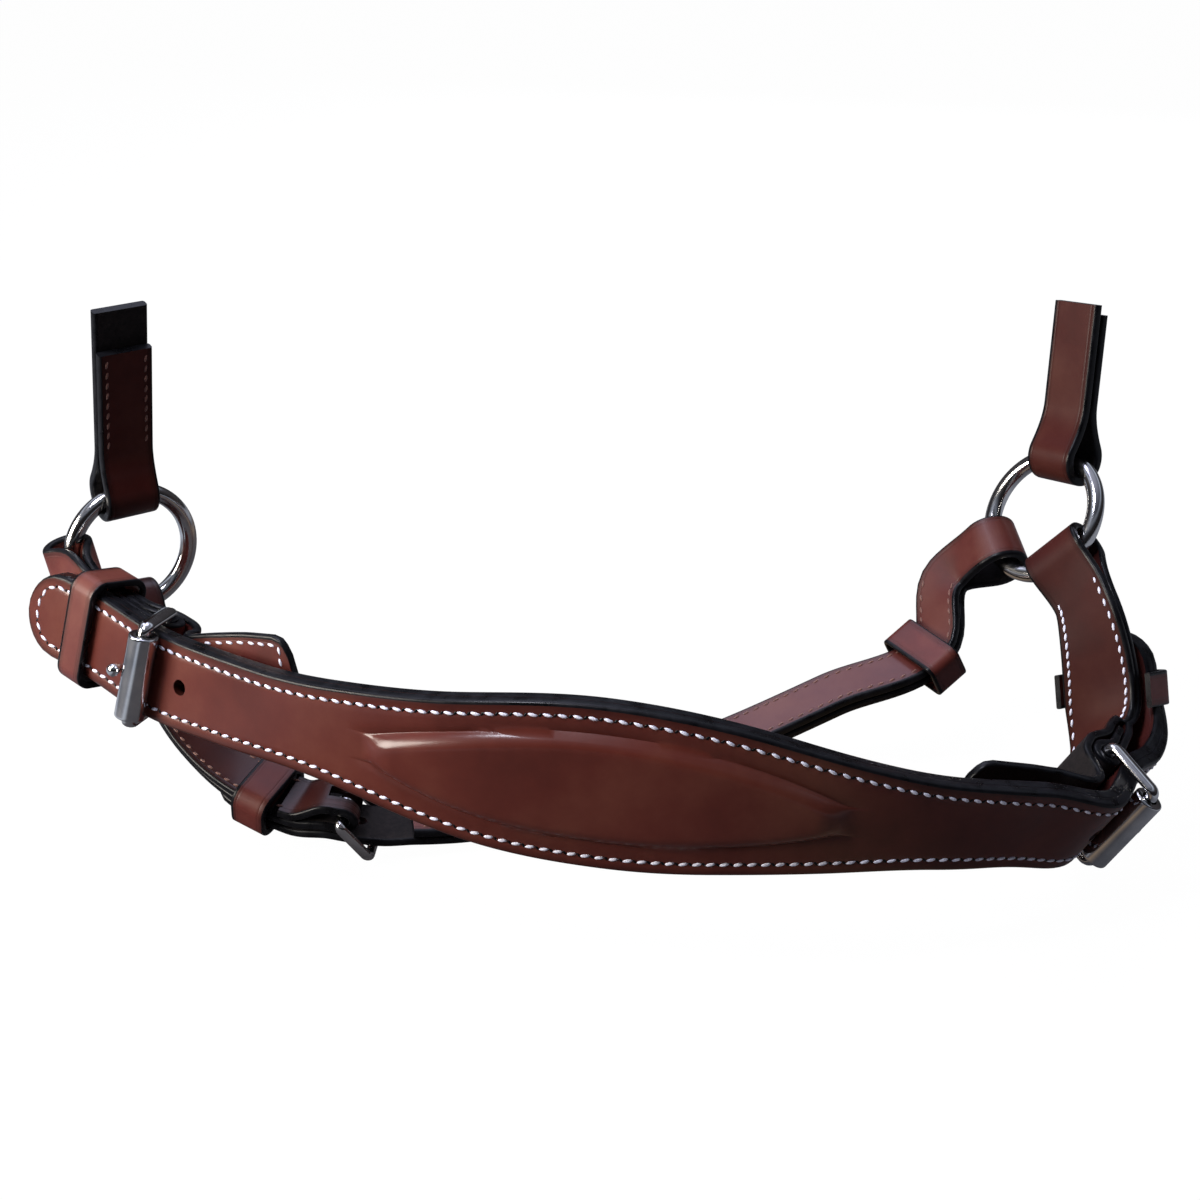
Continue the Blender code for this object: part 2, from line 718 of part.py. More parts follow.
def chin_points():
    left, left_along = loop_place(LEFT_RING, CHIN_LEFT_DEGREES, CHIN_BEND_DEPTH)
    right, right_along = loop_place(RIGHT_RING, CHIN_RIGHT_DEGREES, CHIN_BEND_DEPTH)
    left_way = across(left_along, CHIN_LINE[-1] - left)
    right_way = across(right_along, CHIN_LINE[0] - right)
    points = [right, right + right_way * BEND_NECK, *CHIN_LINE, left + left_way * BEND_NECK, left]
    right_width = right_along if right_along.dot(CHIN_WIDTHS[0]) > 0 else -right_along
    left_width = left_along if left_along.dot(CHIN_WIDTHS[-1]) > 0 else -left_along
    widths = [right_width, right_width, *CHIN_WIDTHS, left_width, left_width]
    return Rail(points, widths, zero=CHIN_BUCKLE_POINT)


def build_chin():
    rail = chin_points()
    step = CHIN_LAYER + GAP
    leg = step / 2
    bend = CHIN_CAVITY + CHIN_LAYER / 2
    heel = -3.8
    wrap = CHIN_BAR_RADIUS + 0.45 + CHIN_LAYER / 2
    over = heel + wrap + step + 0.1

    # The short strap starts beside the buckle, turns round the heel bar and the left ring.
    line = [(17, -leg)] + ease((14, -leg), (4, heel - wrap), 4)
    line += arc((0, heel), wrap, -90, -270, 10) + ease((3, heel + wrap), (14, leg), 4)
    neck = rail.end - BEND_NECK
    line += [(s, leg) for s in steps_to(14, neck, 7)[1:-1]]
    line += bend_line(rail.end, bend, leg, BEND_NECK)
    line += [(s, -leg) for s in steps_to(neck, 18.5, 7)[1:]]
    hinge = RIGHT_RING.origin + around_ring(RIGHT_RING, CHIN_RIGHT_DEGREES)[0] * RING_RADIUS
    short = strip("chin_short_strap", rail, line, CHIN_WIDTH, CHIN_LAYER, origin=hinge)
    buckle = rail.frame(0)
    slot = box_cutter("chin_slot", buckle, (-5, 5), (heel - wrap - 3, heel + wrap + 2.2), 2.1)
    boolean(short, slot, "DIFFERENCE")

    # The long strap runs from its end past the keeper, through the buckle and round the right ring.
    lap = over + CHIN_LAYER
    line = [(s, lap) for s in (40, 38.5, 36, 32, 26, 20)] + ease((14, lap), (2, over), 4)
    line += [(-2, over), (-6, over)] + ease((-10, over), (-20, leg), 3)
    start = rail.start + BEND_NECK
    line += [(s, leg) for s in steps_to(-20, start, 9)[1:-1]]
    line += [(2 * rail.start - s, y) for s, y in bend_line(rail.start, bend, leg, BEND_NECK)]
    line += [(s, -leg) for s in steps_to(start, -19, 9)[1:]]
    long = strip("chin_strap", rail, line, CHIN_WIDTH, CHIN_LAYER, tips=(7, 0), origin=hinge)
    place = rail.frame(-4.0)
    hole = hole_cutter("chin_hole", Frame(place.point(-1, 0), place.a, place.w, place.n), 2.2, 1.5, 12)
    boolean(long, hole, "DIFFERENCE")

    front = (-9.5, over + CHIN_LAYER / 2 + GAP + CHIN_BAR_RADIUS)
    rise = Vector((front[0], front[1] - heel))
    up = buckle.a * rise.x + buckle.n * rise.y
    place = Frame(buckle.point(0, heel), up, buckle.w)
    sides = CHIN_SIDE_THICKNESS, CHIN_SIDE_DEPTH
    build_frame("chin_buckle_frame", place, rise.length, CHIN_WIDTH + 0.6, CHIN_BAR_RADIUS, *sides, hinge)
    lean = math.atan2(rise.y, rise.x) - math.asin((CHIN_BAR_RADIUS + CHIN_PRONG_RADIUS + GAP) / rise.length)
    prong = Frame(buckle.point(0, heel), buckle.a * math.cos(lean) + buckle.n * math.sin(lean), buckle.w)
    shank = CHIN_PRONG_LENGTH, CHIN_PRONG_RADIUS, CHIN_PRONG_TIP_RADIUS
    build_prong("chin_prong", prong, *shank, CHIN_EYE_RADIUS, CHIN_EYE_WIDTH, CHIN_BAR_RADIUS + 0.25)

    left = rail.frame(rail.nearest(CHIN_KEEPER_LEFT) - rail.zero)
    half = CHIN_WIDTH / 2 + 0.4
    top = over + CHIN_LAYER * 1.5 + 1.0
    build_keeper("chin_keeper_left", left, half + 0.7, -step - 0.7, top, CHIN_KEEPER_WIDTH, hinge)
    right = rail.frame(rail.nearest(CHIN_KEEPER_RIGHT) - rail.zero + 5)
    reach = step + 1.3
    build_keeper("chin_keeper_right", right, half + 1.9, -reach, reach, CHIN_KEEPER_WIDTH, right.origin)


def main():
    for old in list(bpy.data.objects):
        bpy.data.objects.remove(old, do_unlink=True)
    right_way, _ = around_ring(RIGHT_RING, RIGHT_SIDE_DEGREES)
    over_right = side_rail(None, RIGHT_BUCKLE, RIGHT_RING, RIGHT_SIDE_DEGREES, right_way)
    tail = 1.5 * (SIDE_LAYER + GAP) + 2 * NOSE_LAYER + GAP
    points = NOSE_POINTS + [over_right.frame(s).point(0, tail + extra) for s, extra in ((43, 1.8), (63, 2.0))]
    nose = Rail(points, NOSE_WIDTH_DIRECTIONS + [over_right.frame(s).w for s in (43, 63)])
    build_nose(nose, nose.nearest(Vector((0, -6, 0))))
    left_rail = side_rail(
        nose, LEFT_BUCKLE, LEFT_RING, LEFT_SIDE_DEGREES, LEFT_SIDE_WAY, LEFT_SAFE_SINK, LEFT_SAFE_LIFT
    )
    right_rail = side_rail(
        nose, RIGHT_BUCKLE, RIGHT_RING, RIGHT_SIDE_DEGREES, right_way, RIGHT_SAFE_SINK
    )
    build_side("side_piece_left", left_rail, LEFT_BUCKLE)
    build_side("side_piece_right", right_rail, RIGHT_BUCKLE)
    build_buckle("left", LEFT_BUCKLE)
    build_buckle("right", RIGHT_BUCKLE)
    keeper = Frame(LEFT_BUCKLE.point(27.0, 0), LEFT_BUCKLE.a, LEFT_BUCKLE.w, LEFT_BUCKLE.n)
    build_keeper("keeper_left", keeper, NOSE_END_WIDTH / 2 + 2.0, -14.7, 0.9, KEEPER_WIDTH)
    keeper = right_rail.frame(46)
    build_keeper("keeper_right", keeper, NOSE_END_WIDTH / 2 + 1.8, -4.3, tail + 3.2, KEEPER_WIDTH, foot=0.3)
    build_ring("ring_left", LEFT_RING)
    build_ring("ring_right", RIGHT_RING)
    behind = Vector((0, 100, 0))
    build_cheek("left", LEFT_RING, LEFT_CHEEK_WAY, CHEEK_LEFT_LENGTH, CHEEK_LEFT_LAP, behind)
    behind = Vector((-100, -100, 0))
    build_cheek("right", RIGHT_RING, RIGHT_CHEEK_WAY, CHEEK_RIGHT_LENGTH, CHEEK_RIGHT_LAP, behind)
    build_chin()


main()
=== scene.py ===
import math
import bmesh
import bpy
from mathutils import Matrix, Vector


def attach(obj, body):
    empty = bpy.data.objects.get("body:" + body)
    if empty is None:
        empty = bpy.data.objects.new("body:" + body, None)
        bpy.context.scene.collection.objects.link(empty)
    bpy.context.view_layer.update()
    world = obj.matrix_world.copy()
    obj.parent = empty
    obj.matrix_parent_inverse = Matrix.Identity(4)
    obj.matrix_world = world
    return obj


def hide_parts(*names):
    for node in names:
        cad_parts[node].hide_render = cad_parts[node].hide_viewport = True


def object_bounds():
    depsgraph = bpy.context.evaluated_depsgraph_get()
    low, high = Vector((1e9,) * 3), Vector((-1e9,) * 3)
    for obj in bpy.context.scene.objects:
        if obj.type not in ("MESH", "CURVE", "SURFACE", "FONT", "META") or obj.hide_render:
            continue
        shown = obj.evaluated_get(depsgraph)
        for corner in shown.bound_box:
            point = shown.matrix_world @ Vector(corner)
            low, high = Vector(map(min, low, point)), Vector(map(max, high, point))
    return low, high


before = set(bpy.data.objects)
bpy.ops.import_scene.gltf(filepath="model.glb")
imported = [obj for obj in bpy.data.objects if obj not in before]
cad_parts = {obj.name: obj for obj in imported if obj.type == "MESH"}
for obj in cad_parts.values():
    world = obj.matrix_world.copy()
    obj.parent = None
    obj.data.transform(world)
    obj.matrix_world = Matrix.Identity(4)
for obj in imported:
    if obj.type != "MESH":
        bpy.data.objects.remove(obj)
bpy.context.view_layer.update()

mm = 0.001
layGap = 0.3  # between pieces that lie on each other, in millimetres

# the two roller buckles and the two rings, in millimetres: place, direction along the strap
# or in the ring, direction across it, and which way the show side faces
places = {
    "leftBuckle": ((-127.0, 53.0, 4.0), (-0.75, 0.65, 0.12), (0.24, 0.1, 0.97), (-0.6, -0.7, 0.2)),
    "rightBuckle": ((139.5, 30.5, -28.5), (0.4, 0.9, -0.05), (0.505, -0.13, 0.857), (0.7, -0.5, -0.5)),
    "leftRing": ((-141.0, 109.8, 15.5), (0.82, 0.57, 0.0), (0.0, 0.0, 1.0), (0.57, -0.82, 0.0)),
    "rightRing": ((133.2, 114.1, 24.7), (0.592, -0.797, 0.128), (0.35, 0.397, 0.852), (-0.73, -0.459, 0.514)),
    "insideOfLoop": (0.0, 75.0, 25.0),
}


def unit(x, y, z):
    return Vector((x, y, z)).normalized()


def squareTo(direction, wanted):
    return (wanted - direction * direction.dot(wanted)).normalized()


def mix(a, b, t):
    return a + (b - a) * t


def smooth(t):
    t = min(max(t, 0.0), 1.0)
    return t * t * (3 - 2 * t)


class Spot:  # a place on a strap: a along it, n out of its show side, w across it
    def __init__(self, origin, a, w, outward=None):
        self.origin = Vector(origin)
        self.a = Vector(a).normalized()
        self.w = squareTo(self.a, Vector(w))
        self.n = self.a.cross(self.w)
        if outward and self.n.dot(Vector(outward)) < 0:
            self.n = -self.n

    def at(self, a, n, w=0.0):
        return self.origin + self.a * a + self.n * n + self.w * w


def hermite(p, start, q, finish, t):
    square, cube = t * t, t**3
    return (
        p * (2 * cube - 3 * square + 1) + start * (cube - 2 * square + t)
        + q * (3 * square - 2 * cube) + finish * (cube - square)
    )


class StrapLine:  # a smooth line through points, with the strap's width direction along it
    samples = 24

    def __init__(self, points, widths, inside=None, zero=None):
        self.inside = inside or Vector(places["insideOfLoop"])
        self.points, self.widths, self.zero = [], [], 0.0
        last = len(points) - 1
        for i in range(last):
            p, q = points[i], points[i + 1]
            before, after = points[max(i - 1, 0)], points[min(i + 2, last)]
            span = (q - p).length
            start, finish = self.slope(before, p, q) * span, self.slope(p, q, after) * span
            for step in range(self.samples + (i == last - 1)):
                t = step / self.samples
                self.points.append(hermite(p, start, q, finish, t))
                self.widths.append(mix(widths[i], widths[i + 1], smooth(t)).normalized())
        self.lengths = [0.0]
        for p, q in zip(self.points, self.points[1:]):
            self.lengths.append(self.lengths[-1] + (q - p).length)
        if zero:
            self.zero = self.nearest(zero)
        self.length = self.lengths[-1]
        self.start, self.end = -self.zero, self.length - self.zero

    @staticmethod
    def slope(before, middle, after):
        back, ahead = middle - before, after - middle
        if back.length < 1e-6:
            return ahead.normalized()
        if ahead.length < 1e-6:
            return back.normalized()
        return (back / back.length**2 + ahead / ahead.length**2).normalized()

    def nearest(self, point):
        distances = [(p - point).length for p in self.points]
        return self.lengths[distances.index(min(distances))]

    def spot(self, s):
        s += self.zero
        low, high = 0, len(self.lengths) - 1
        while high - low > 1:
            middle = (low + high) // 2
            if self.lengths[middle] < s:
                low = middle
            else:
                high = middle
        p, q = self.points[low], self.points[high]
        t = (s - self.lengths[low]) / (self.lengths[high] - self.lengths[low])
        first, final = max(low - 1, 0), min(high + 1, len(self.points) - 1)
        # the direction is blended between samples, so that fine rows don't step
        early = (self.points[high] - self.points[first]).normalized()
        late = (self.points[final] - self.points[low]).normalized()
        way = mix(early, late, min(max(t, 0), 1))
        width = mix(self.widths[low], self.widths[high], min(max(t, 0), 1))
        place = p + (q - p) * t
        return Spot(place, way, width, place - self.inside)


def evenSteps(start, finish, size):
    count = max(round(abs(finish - start) / size), 1)
    return [start + (finish - start) * i / count for i in range(count + 1)]


def turns(count):
    return [math.tau * k / count for k in range(count)]


def arc(centre, radius, start, finish, steps):
    made = []
    for step in range(steps + 1):
        turn = math.radians(start + (finish - start) * step / steps)
        made.append((centre[0] + radius * math.cos(turn), centre[1] + radius * math.sin(turn)))
    return made


def ease(start, finish, steps):
    made = []
    for step in range(steps + 1):
        t = step / steps
        made.append((mix(start[0], finish[0], t), mix(start[1], finish[1], smooth(t))))
    return made


def bendLine(centre, radius, leg, neck, openAngle=118.0, steps=10):
    # into, round and out of a bend whose open side faces back along the line
    roundPart = arc((centre, 0), radius, openAngle, -openAngle, 26)
    start, finish = Vector((centre - neck, leg)), Vector(roundPart[0])
    run = (finish - start).length
    turn = math.radians(openAngle)
    leaving, arriving = Vector((run, 0)), Vector((math.sin(turn), -math.cos(turn))) * run
    wayIn = [tuple(hermite(start, leaving, finish, arriving, step / steps)) for step in range(steps)]
    return wayIn + roundPart + [(x, -y) for x, y in reversed(wayIn)]


leftBuckle, rightBuckle = Spot(*places["leftBuckle"]), Spot(*places["rightBuckle"])
leftRing, rightRing = Spot(*places["leftRing"]), Spot(*places["rightRing"])


def aroundRing(ring, degrees):
    turn = math.radians(degrees)
    out = ring.a * math.cos(turn) + ring.w * math.sin(turn)
    return out, ring.w * math.cos(turn) - ring.a * math.sin(turn)


def ringPlace(ring, degrees, depth):
    out, along = aroundRing(ring, degrees)
    return ring.origin + out * depth, along


# Meshes

def linkObject(name, data):
    made = bpy.data.objects.new(name, data)
    bpy.context.scene.collection.objects.link(made)
    return made


def linkMesh(name, bm):
    bmesh.ops.recalc_face_normals(bm, faces=bm.faces)
    mesh = bpy.data.meshes.new(name)
    bm.to_mesh(mesh)
    bm.free()
    return linkObject(name, mesh)


def finishObject(name, bm, materials, body, replaced=(), smoothAngle=50):
    made = linkMesh(name, bm)
    for each in materials:
        made.data.materials.append(each)
    made.data.shade_smooth()
    made.data.set_sharp_from_angle(angle=math.radians(smoothAngle))
    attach(made, body)
    if replaced:
        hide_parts(*replaced)
    return made


def skinRows(rows, closedRows=False, border=None, edgeColumns=(), fleshColumns=()):
    # a grid whose columns go round each row of points, shaped row by row and sewn shut
    columns, lines = len(rows[0]), len(rows)
    tall = lines if closedRows else lines - 1
    bm = bmesh.new()
    bmesh.ops.create_grid(bm, x_segments=columns, y_segments=tall, size=1.0)
    inset = bm.verts.layers.float.new("border")
    cells = {}
    for vert in bm.verts:
        cells[vert] = round((vert.co.x + 1) / 2 * columns), round((vert.co.y + 1) / 2 * tall)
    for face in bm.faces:
        first = min(cells[vert][0] for vert in face.verts)
        if first in edgeColumns or first in fleshColumns:
            face.material_index = 1 if first in edgeColumns else 2
    for vert, (column, line) in cells.items():
        vert.co = rows[line % lines][column % columns] * mm
        if border:
            vert[inset] = border[line % lines][column % columns] * mm
    bmesh.ops.remove_doubles(bm, verts=bm.verts, dist=1e-7)
    if not closedRows:
        bmesh.ops.holes_fill(bm, edges=[edge for edge in bm.edges if edge.is_boundary], sides=0)
        for face in bm.faces:
            if len(face.verts) > 4:
                face.material_index = 1 if edgeColumns else 0
    return bm


def cutHole(target, cutter):
    # the cutter is a mesh object that is taken off and removed again
    cut = target.modifiers.new("hole", "BOOLEAN")
    cut.object, cut.operation, cut.solver = cutter, "DIFFERENCE", "EXACT"
    graph = bpy.context.evaluated_depsgraph_get()
    shaped = target.evaluated_get(graph)
    fresh = bpy.data.meshes.new_from_object(shaped, preserve_all_data_layers=True, depsgraph=graph)
    target.modifiers.clear()
    target.data = fresh
    bpy.data.objects.remove(cutter, do_unlink=True)


def holeCutter(spot, stretch, radius, low, high):
    outline = arc((stretch, 0), radius, -84, 84, 14) + arc((0, 0), radius, 96, 264, 14)
    return linkMesh("punch", skinRows([[spot.at(x, n, y) for x, y in outline] for n in (low, high)]))


def boxCutter(spot, along, height, halfWidth):
    low, high = height
    corners = ((low, -halfWidth), (high, -halfWidth), (high, halfWidth), (low, halfWidth))
    return linkMesh("punch", skinRows([[spot.at(a, n, w) for n, w in corners] for a in along]))


# Materials

def newMaterial(name):
    made = bpy.data.materials.new(name)
    made.use_nodes = True
    return made, made.node_tree, made.node_tree.nodes["Principled BSDF"]


def addNode(tree, kind, **values):
    node = tree.nodes.new(kind)
    for key, value in values.items():
        if key in node.inputs:
            node.inputs[key].default_value = value
        else:
            setattr(node, key, value)
    return node


def setSockets(node, values):
    for socket, value in values.items():
        node.inputs[socket].default_value = value


def objectPattern(tree, kind, scale, **values):
    coordinates = addNode(tree, "ShaderNodeTexCoord")
    pattern = addNode(tree, kind, **values)
    pattern.inputs["Scale"].default_value = scale
    tree.links.new(coordinates.outputs["Object"], pattern.inputs["Vector"])
    return pattern


def colourRamp(tree, source, stops):
    ramp = addNode(tree, "ShaderNodeValToRGB")
    tree.links.new(source, ramp.inputs["Fac"])
    while len(ramp.color_ramp.elements) < len(stops):
        ramp.color_ramp.elements.new(0.5)
    for element, (position, colour) in zip(ramp.color_ramp.elements, stops):
        element.position = position
        element.color = (*colour, 1.0)
    return ramp.outputs["Color"]


def mathNode(tree, operation, first, second=None, clamp=False):
    node = addNode(tree, "ShaderNodeMath", operation=operation, use_clamp=clamp)
    for socket, value in ((node.inputs[0], first), (node.inputs[1], second)):
        if hasattr(value, "links"):
            tree.links.new(value, socket)
        elif value is not None:
            socket.default_value = value
    return node.outputs[0]


def mapRange(tree, source, fromEnds, toEnds):
    node = addNode(tree, "ShaderNodeMapRange")
    for word, ends in (("From", fromEnds), ("To", toEnds)):
        node.inputs[word + " Min"].default_value, node.inputs[word + " Max"].default_value = ends
    tree.links.new(source, node.inputs["Value"])
    return node.outputs["Result"]


def reliefInto(tree, shader, height, strength, distance):
    bump = addNode(tree, "ShaderNodeBump", Strength=strength, Distance=distance)
    tree.links.new(height, bump.inputs["Height"])
    tree.links.new(bump.outputs["Normal"], shader.inputs["Normal"])


def blendShaders(tree, share, first, second):
    blend = addNode(tree, "ShaderNodeMixShader")
    tree.links.new(share, blend.inputs["Fac"])
    tree.links.new(first, blend.inputs[1])
    tree.links.new(second, blend.inputs[2])
    return blend.outputs["Shader"]


leatherLook = {
    "deep": (0.05, 0.0105, 0.0085), "middle": (0.1, 0.0185, 0.0145), "warm": (0.16, 0.05, 0.033),
    "tone": 1.0, "roughness": (0.3, 0.46), "gloss": 0.1, "coatRoughness": 0.18, "specular": 0.27,
    "cloudScale": 28, "handledScale": 110, "grainScale": 900, "pullScale": 320, "grainDepth": 0.00005,
    "creased": True, "creaseInset": 0.0018, "creaseWidth": 0.0004, "creaseDepth": 2.2,
    "borderWidth": 0.0028, "borderTone": 0.35,
}


def bridleLeather(name, **changes):
    look = dict(leatherLook, **changes)
    made, tree, shader = newMaterial(name)
    cloudy = objectPattern(tree, "ShaderNodeTexNoise", look["cloudScale"], Detail=6.0, Roughness=0.6)
    stops = [(0.25, look["deep"]), (0.5, look["middle"]), (0.78, look["warm"])]
    stops = [(place, tuple(c * look["tone"] for c in colour)) for place, colour in stops]
    # the leather darkens towards its dressed edge
    border = addNode(tree, "ShaderNodeAttribute", attribute_name="border").outputs["Fac"]
    nearEdge = mapRange(tree, border, (0.0, look["borderWidth"]), (look["borderTone"], 1.0))
    darker = addNode(tree, "ShaderNodeMix", data_type="RGBA", blend_type="MULTIPLY")
    darker.inputs["Factor"].default_value = 1.0
    tree.links.new(colourRamp(tree, cloudy.outputs["Fac"], stops), darker.inputs["A"])
    tree.links.new(nearEdge, darker.inputs["B"])
    tree.links.new(darker.outputs["Result"], shader.inputs["Base Color"])
    handled = objectPattern(tree, "ShaderNodeTexNoise", look["handledScale"], Detail=4.0)
    rough = mapRange(tree, handled.outputs["Fac"], (0.0, 1.0), look["roughness"])
    tree.links.new(rough, shader.inputs["Roughness"])
    pores = objectPattern(tree, "ShaderNodeTexVoronoi", look["grainScale"], feature="DISTANCE_TO_EDGE")
    pull = objectPattern(tree, "ShaderNodeTexNoise", look["pullScale"], Detail=5.0)
    grain = mathNode(tree, "MULTIPLY", pores.outputs["Distance"], 0.5)
    height = mathNode(tree, "ADD", grain, mathNode(tree, "MULTIPLY", pull.outputs["Fac"], 0.8))
    if look["creased"]:
        # a line pressed in beside the edge
        away = mathNode(tree, "ABSOLUTE", mathNode(tree, "SUBTRACT", border, look["creaseInset"]))
        away = mathNode(tree, "DIVIDE", away, look["creaseWidth"])
        line = mathNode(tree, "SUBTRACT", 1.0, away, clamp=True)
        crease = mathNode(tree, "MULTIPLY", line, look["creaseDepth"])
        height = mathNode(tree, "SUBTRACT", height, crease)
    reliefInto(tree, shader, height, 0.5, look["grainDepth"])
    coat = {"Coat Weight": look["gloss"], "Coat Roughness": look["coatRoughness"]}
    setSockets(shader, {**coat, "Specular IOR Level": look["specular"]})
    return made


def plainMaterial(name, scale, colours, sockets, rough=None, relief=None, hairlines=None, noise=(6.0, 0.5)):
    # one noise, of this detail and roughness, gives the colour and the shader's roughness, and the
    # relief too, by strength and distance, unless that has hairlines
    made, tree, shader = newMaterial(name)
    pattern = objectPattern(tree, "ShaderNodeTexNoise", scale, Detail=noise[0], Roughness=noise[1])
    tree.links.new(colourRamp(tree, pattern.outputs["Fac"], colours), shader.inputs["Base Color"])
    if rough:
        stops = [(place, (value,) * 3) for place, value in rough]
        tree.links.new(colourRamp(tree, pattern.outputs["Fac"], stops), shader.inputs["Roughness"])
    if hairlines:
        pattern = objectPattern(tree, "ShaderNodeTexNoise", hairlines, Detail=2.0)
    if relief:
        reliefInto(tree, shader, pattern.outputs["Fac"], *relief)
    setSockets(shader, sockets)
    return made


def waxedThread(name, light, dark):
    stops, sockets = [(0.3, dark), (0.65, light)], {"Roughness": 0.55, "Sheen Weight": 0.3}
    return plainMaterial(name, 2600, stops, sockets, relief=(0.7, 0.00008), noise=(3.0, 0.5))


brown = bridleLeather("brownLeather", roughness=(0.42, 0.56), tone=0.88)
noseBrown = bridleLeather(
    "noseLeather", deep=(0.066, 0.0138, 0.0104), middle=(0.1, 0.0208, 0.0145), warm=(0.14, 0.041, 0.026),
    roughness=(0.27, 0.4), specular=0.18, creased=False, tone=0.82, gloss=0.35,
)
# a darker copy of the side leather, used on the right side piece only: painted shade, as that side turns away
# from the light
shadedSideBrown = bridleLeather("shadedSideLeather", roughness=(0.5, 0.66), specular=0.12, tone=0.39, gloss=0.0)
liningBrown = bridleLeather("liningLeather", roughness=(0.4, 0.6), tone=0.7)
chinBrown = bridleLeather("chinLeather", roughness=(0.4, 0.55), tone=0.72, gloss=0.3)
# the cheek straps' leather is darker partly for its own dark tone and partly as painted shade on the right
# cheek, which faces the key light
cheekBrownWithShade = bridleLeather("cheekLeatherWithShade", specular=0.14, tone=0.46, gloss=0.12)
darkBrown = bridleLeather("darkLeather", tone=0.28)
black = plainMaterial(
    "dressedEdge", 240, [(0.3, (0.0015, 0.0015, 0.002)), (0.75, (0.008, 0.0085, 0.011))],
    {"Specular IOR Level": 0.15}, rough=[(0.3, 0.22), (0.7, 0.42)], relief=(0.6, 0.00012),
)
flesh = plainMaterial(
    "fleshSide", 700, [(0.3, (0.004, 0.0035, 0.004)), (0.75, (0.016, 0.012, 0.012))],
    {"Roughness": 0.8, "Specular IOR Level": 0.2}, relief=(0.8, 0.00015), noise=(8.0, 0.7),
)
paleThread = waxedThread("paleThread", (0.85, 0.87, 1.0), (0.45, 0.46, 0.58))
brownThread = waxedThread("brownThread", (0.16, 0.055, 0.035), (0.06, 0.02, 0.014))
steel = plainMaterial(
    "polishedSteel", 140, [(0.3, (0.5, 0.51, 0.53)), (0.7, (0.72, 0.71, 0.7))],
    {"Metallic": 1.0}, rough=[(0.35, 0.1), (0.75, 0.2)], relief=(0.15, 0.00003), hairlines=1500,
)
felt = plainMaterial(
    "pressedFelt", 900, [(0.3, (0.2, 0.16, 0.11)), (0.7, (0.36, 0.31, 0.23))],
    {"Roughness": 0.95}, noise=(8.0, 0.5),
)
print("materials ready")

# Nose piece

nosePiece = {
    "layer": 2.92, "liningBack": -5.98, "endWidth": 25.0, "middleWidth": 47.0, "swellHalfLength": 100.0,
    "tip": 11.0, "edgeRound": 0.9,
    "padHalfLength": 62.0, "padHalfWidth": 13.5, "padEndHalfWidth": 2.2,
    "padRise": 2.7, "padSlope": 1.9, "padShoulder": 4.2,
    "holeRadius": 2.2, "holePitch": 19.0, "holePlace": 3.2, "prongSlot": 1.6,
    "stitchInset": 3.5, "stitchPitch": 3.7, "stitch": (2.6, 0.95, 0.8), "prickShade": (1.5, 0.7, 0.5),
}
safe = {
    "length": 47.0, "clearance": 1.35, "leftSink": 3.5, "leftLift": 7.0, "rightSink": 4.0,
    "stitchHalfWidth": 9.4,
}
sideStrap = {
    "layer": 2.4, "width": 24.0, "ringWidth": 19.0, "hollow": 4.95, "depth": 17.9, "neck": 16.0,
    "middle": -10.2, "leftDegrees": 190.0, "rightDegrees": -40.0,
    "stitch": (2.4, 0.9, 0.7), "stitchPitch": 3.0, "stitchInset": 2.4,
}
heelBar, rollerBar = (4.0, -10.7), (-3.5, 4.5)
buckleSteel = {
    "bar": 1.8, "roller": 4.1, "bore": 2.25, "sideThickness": 2.6, "sideDepth": 4.6,
    "prong": 1.4, "prongTip": 1.8, "prongLength": 20.5, "prongEye": 3.4, "prongEyeWidth": 4.0, "lean": 96.0,
}
leftWay = unit(0.396, -0.918, 0.011)
rightWay, _ = aroundRing(rightRing, sideStrap["rightDegrees"])


def sideLine(nose, buckle, ring, degrees, leaving, sink=0.0, lift=0.0):
    # from behind the nose piece, through the buckle, to the bend round the ring
    centre, along = ringPlace(ring, degrees, sideStrap["depth"])
    along = squareTo(leaving, along if along.dot(buckle.w) > 0 else -along)
    middle = sideStrap["middle"]
    points = [buckle.at(a, middle) for a in (-6, 0, 22, 28)]
    points += [centre + leaving * sideStrap["neck"], centre]
    widths = [buckle.w] * 4 + [buckle.w * 2 + along, along]
    if nose:
        for share, a in ((0.15, -14), (0.45, -22), (0.7, -30), (0.88, -38), (1, -safe["length"])):
            spot = nose.spot(nose.nearest(buckle.at(a, 0)))
            up = 1 if spot.w.dot(buckle.w) > 0 else -1
            points.insert(0, spot.at(0, middle - safe["clearance"] - sink * share, up * lift * share))
            widths.insert(0, spot.w * up)
    return StrapLine(points, widths, zero=buckle.at(0, middle))


tailLift = 1.5 * (sideStrap["layer"] + layGap) + 2 * 2.85 + layGap
overRight = sideLine(None, rightBuckle, rightRing, sideStrap["rightDegrees"], rightWay)
nosePoints = [
    leftBuckle.at(48.0, 3.0), leftBuckle.at(26.0, 0.2), leftBuckle.at(-5.0, 0.0),
    Vector((-104.5, 36.5, 3.0)), Vector((-70.2, 15.7, 3.0)), Vector((-38.1, 1.5, 1.5)),
    Vector((0.0, -6.0, 0.0)), Vector((30.3, -9.5, -2.4)), Vector((60.0, -9.0, -7.2)),
    Vector((89.3, -3.0, -13.6)), Vector((112.5, 5.8, -19.6)),
    rightBuckle.at(-15.0, -0.8), rightBuckle.at(-5.0, 0.0), rightBuckle.at(8.0, 0.0),
    rightBuckle.at(24.0, 3.6),
    overRight.spot(43).at(0, tailLift + 1.8), overRight.spot(63).at(0, tailLift + 2.0),
]
noseWidths = [
    *[leftBuckle.w] * 3, unit(0.14, 0.1, 0.98), unit(0.05, 0.03, 1.0), unit(0, 0, 1), unit(0, 0, 1),
    unit(0.02, 0, 1.0), unit(0.06, 0, 1.0), unit(0.12, -0.03, 0.98), unit(0.25, -0.1, 0.94),
    *[rightBuckle.w] * 4, overRight.spot(43).w, overRight.spot(63).w,
]
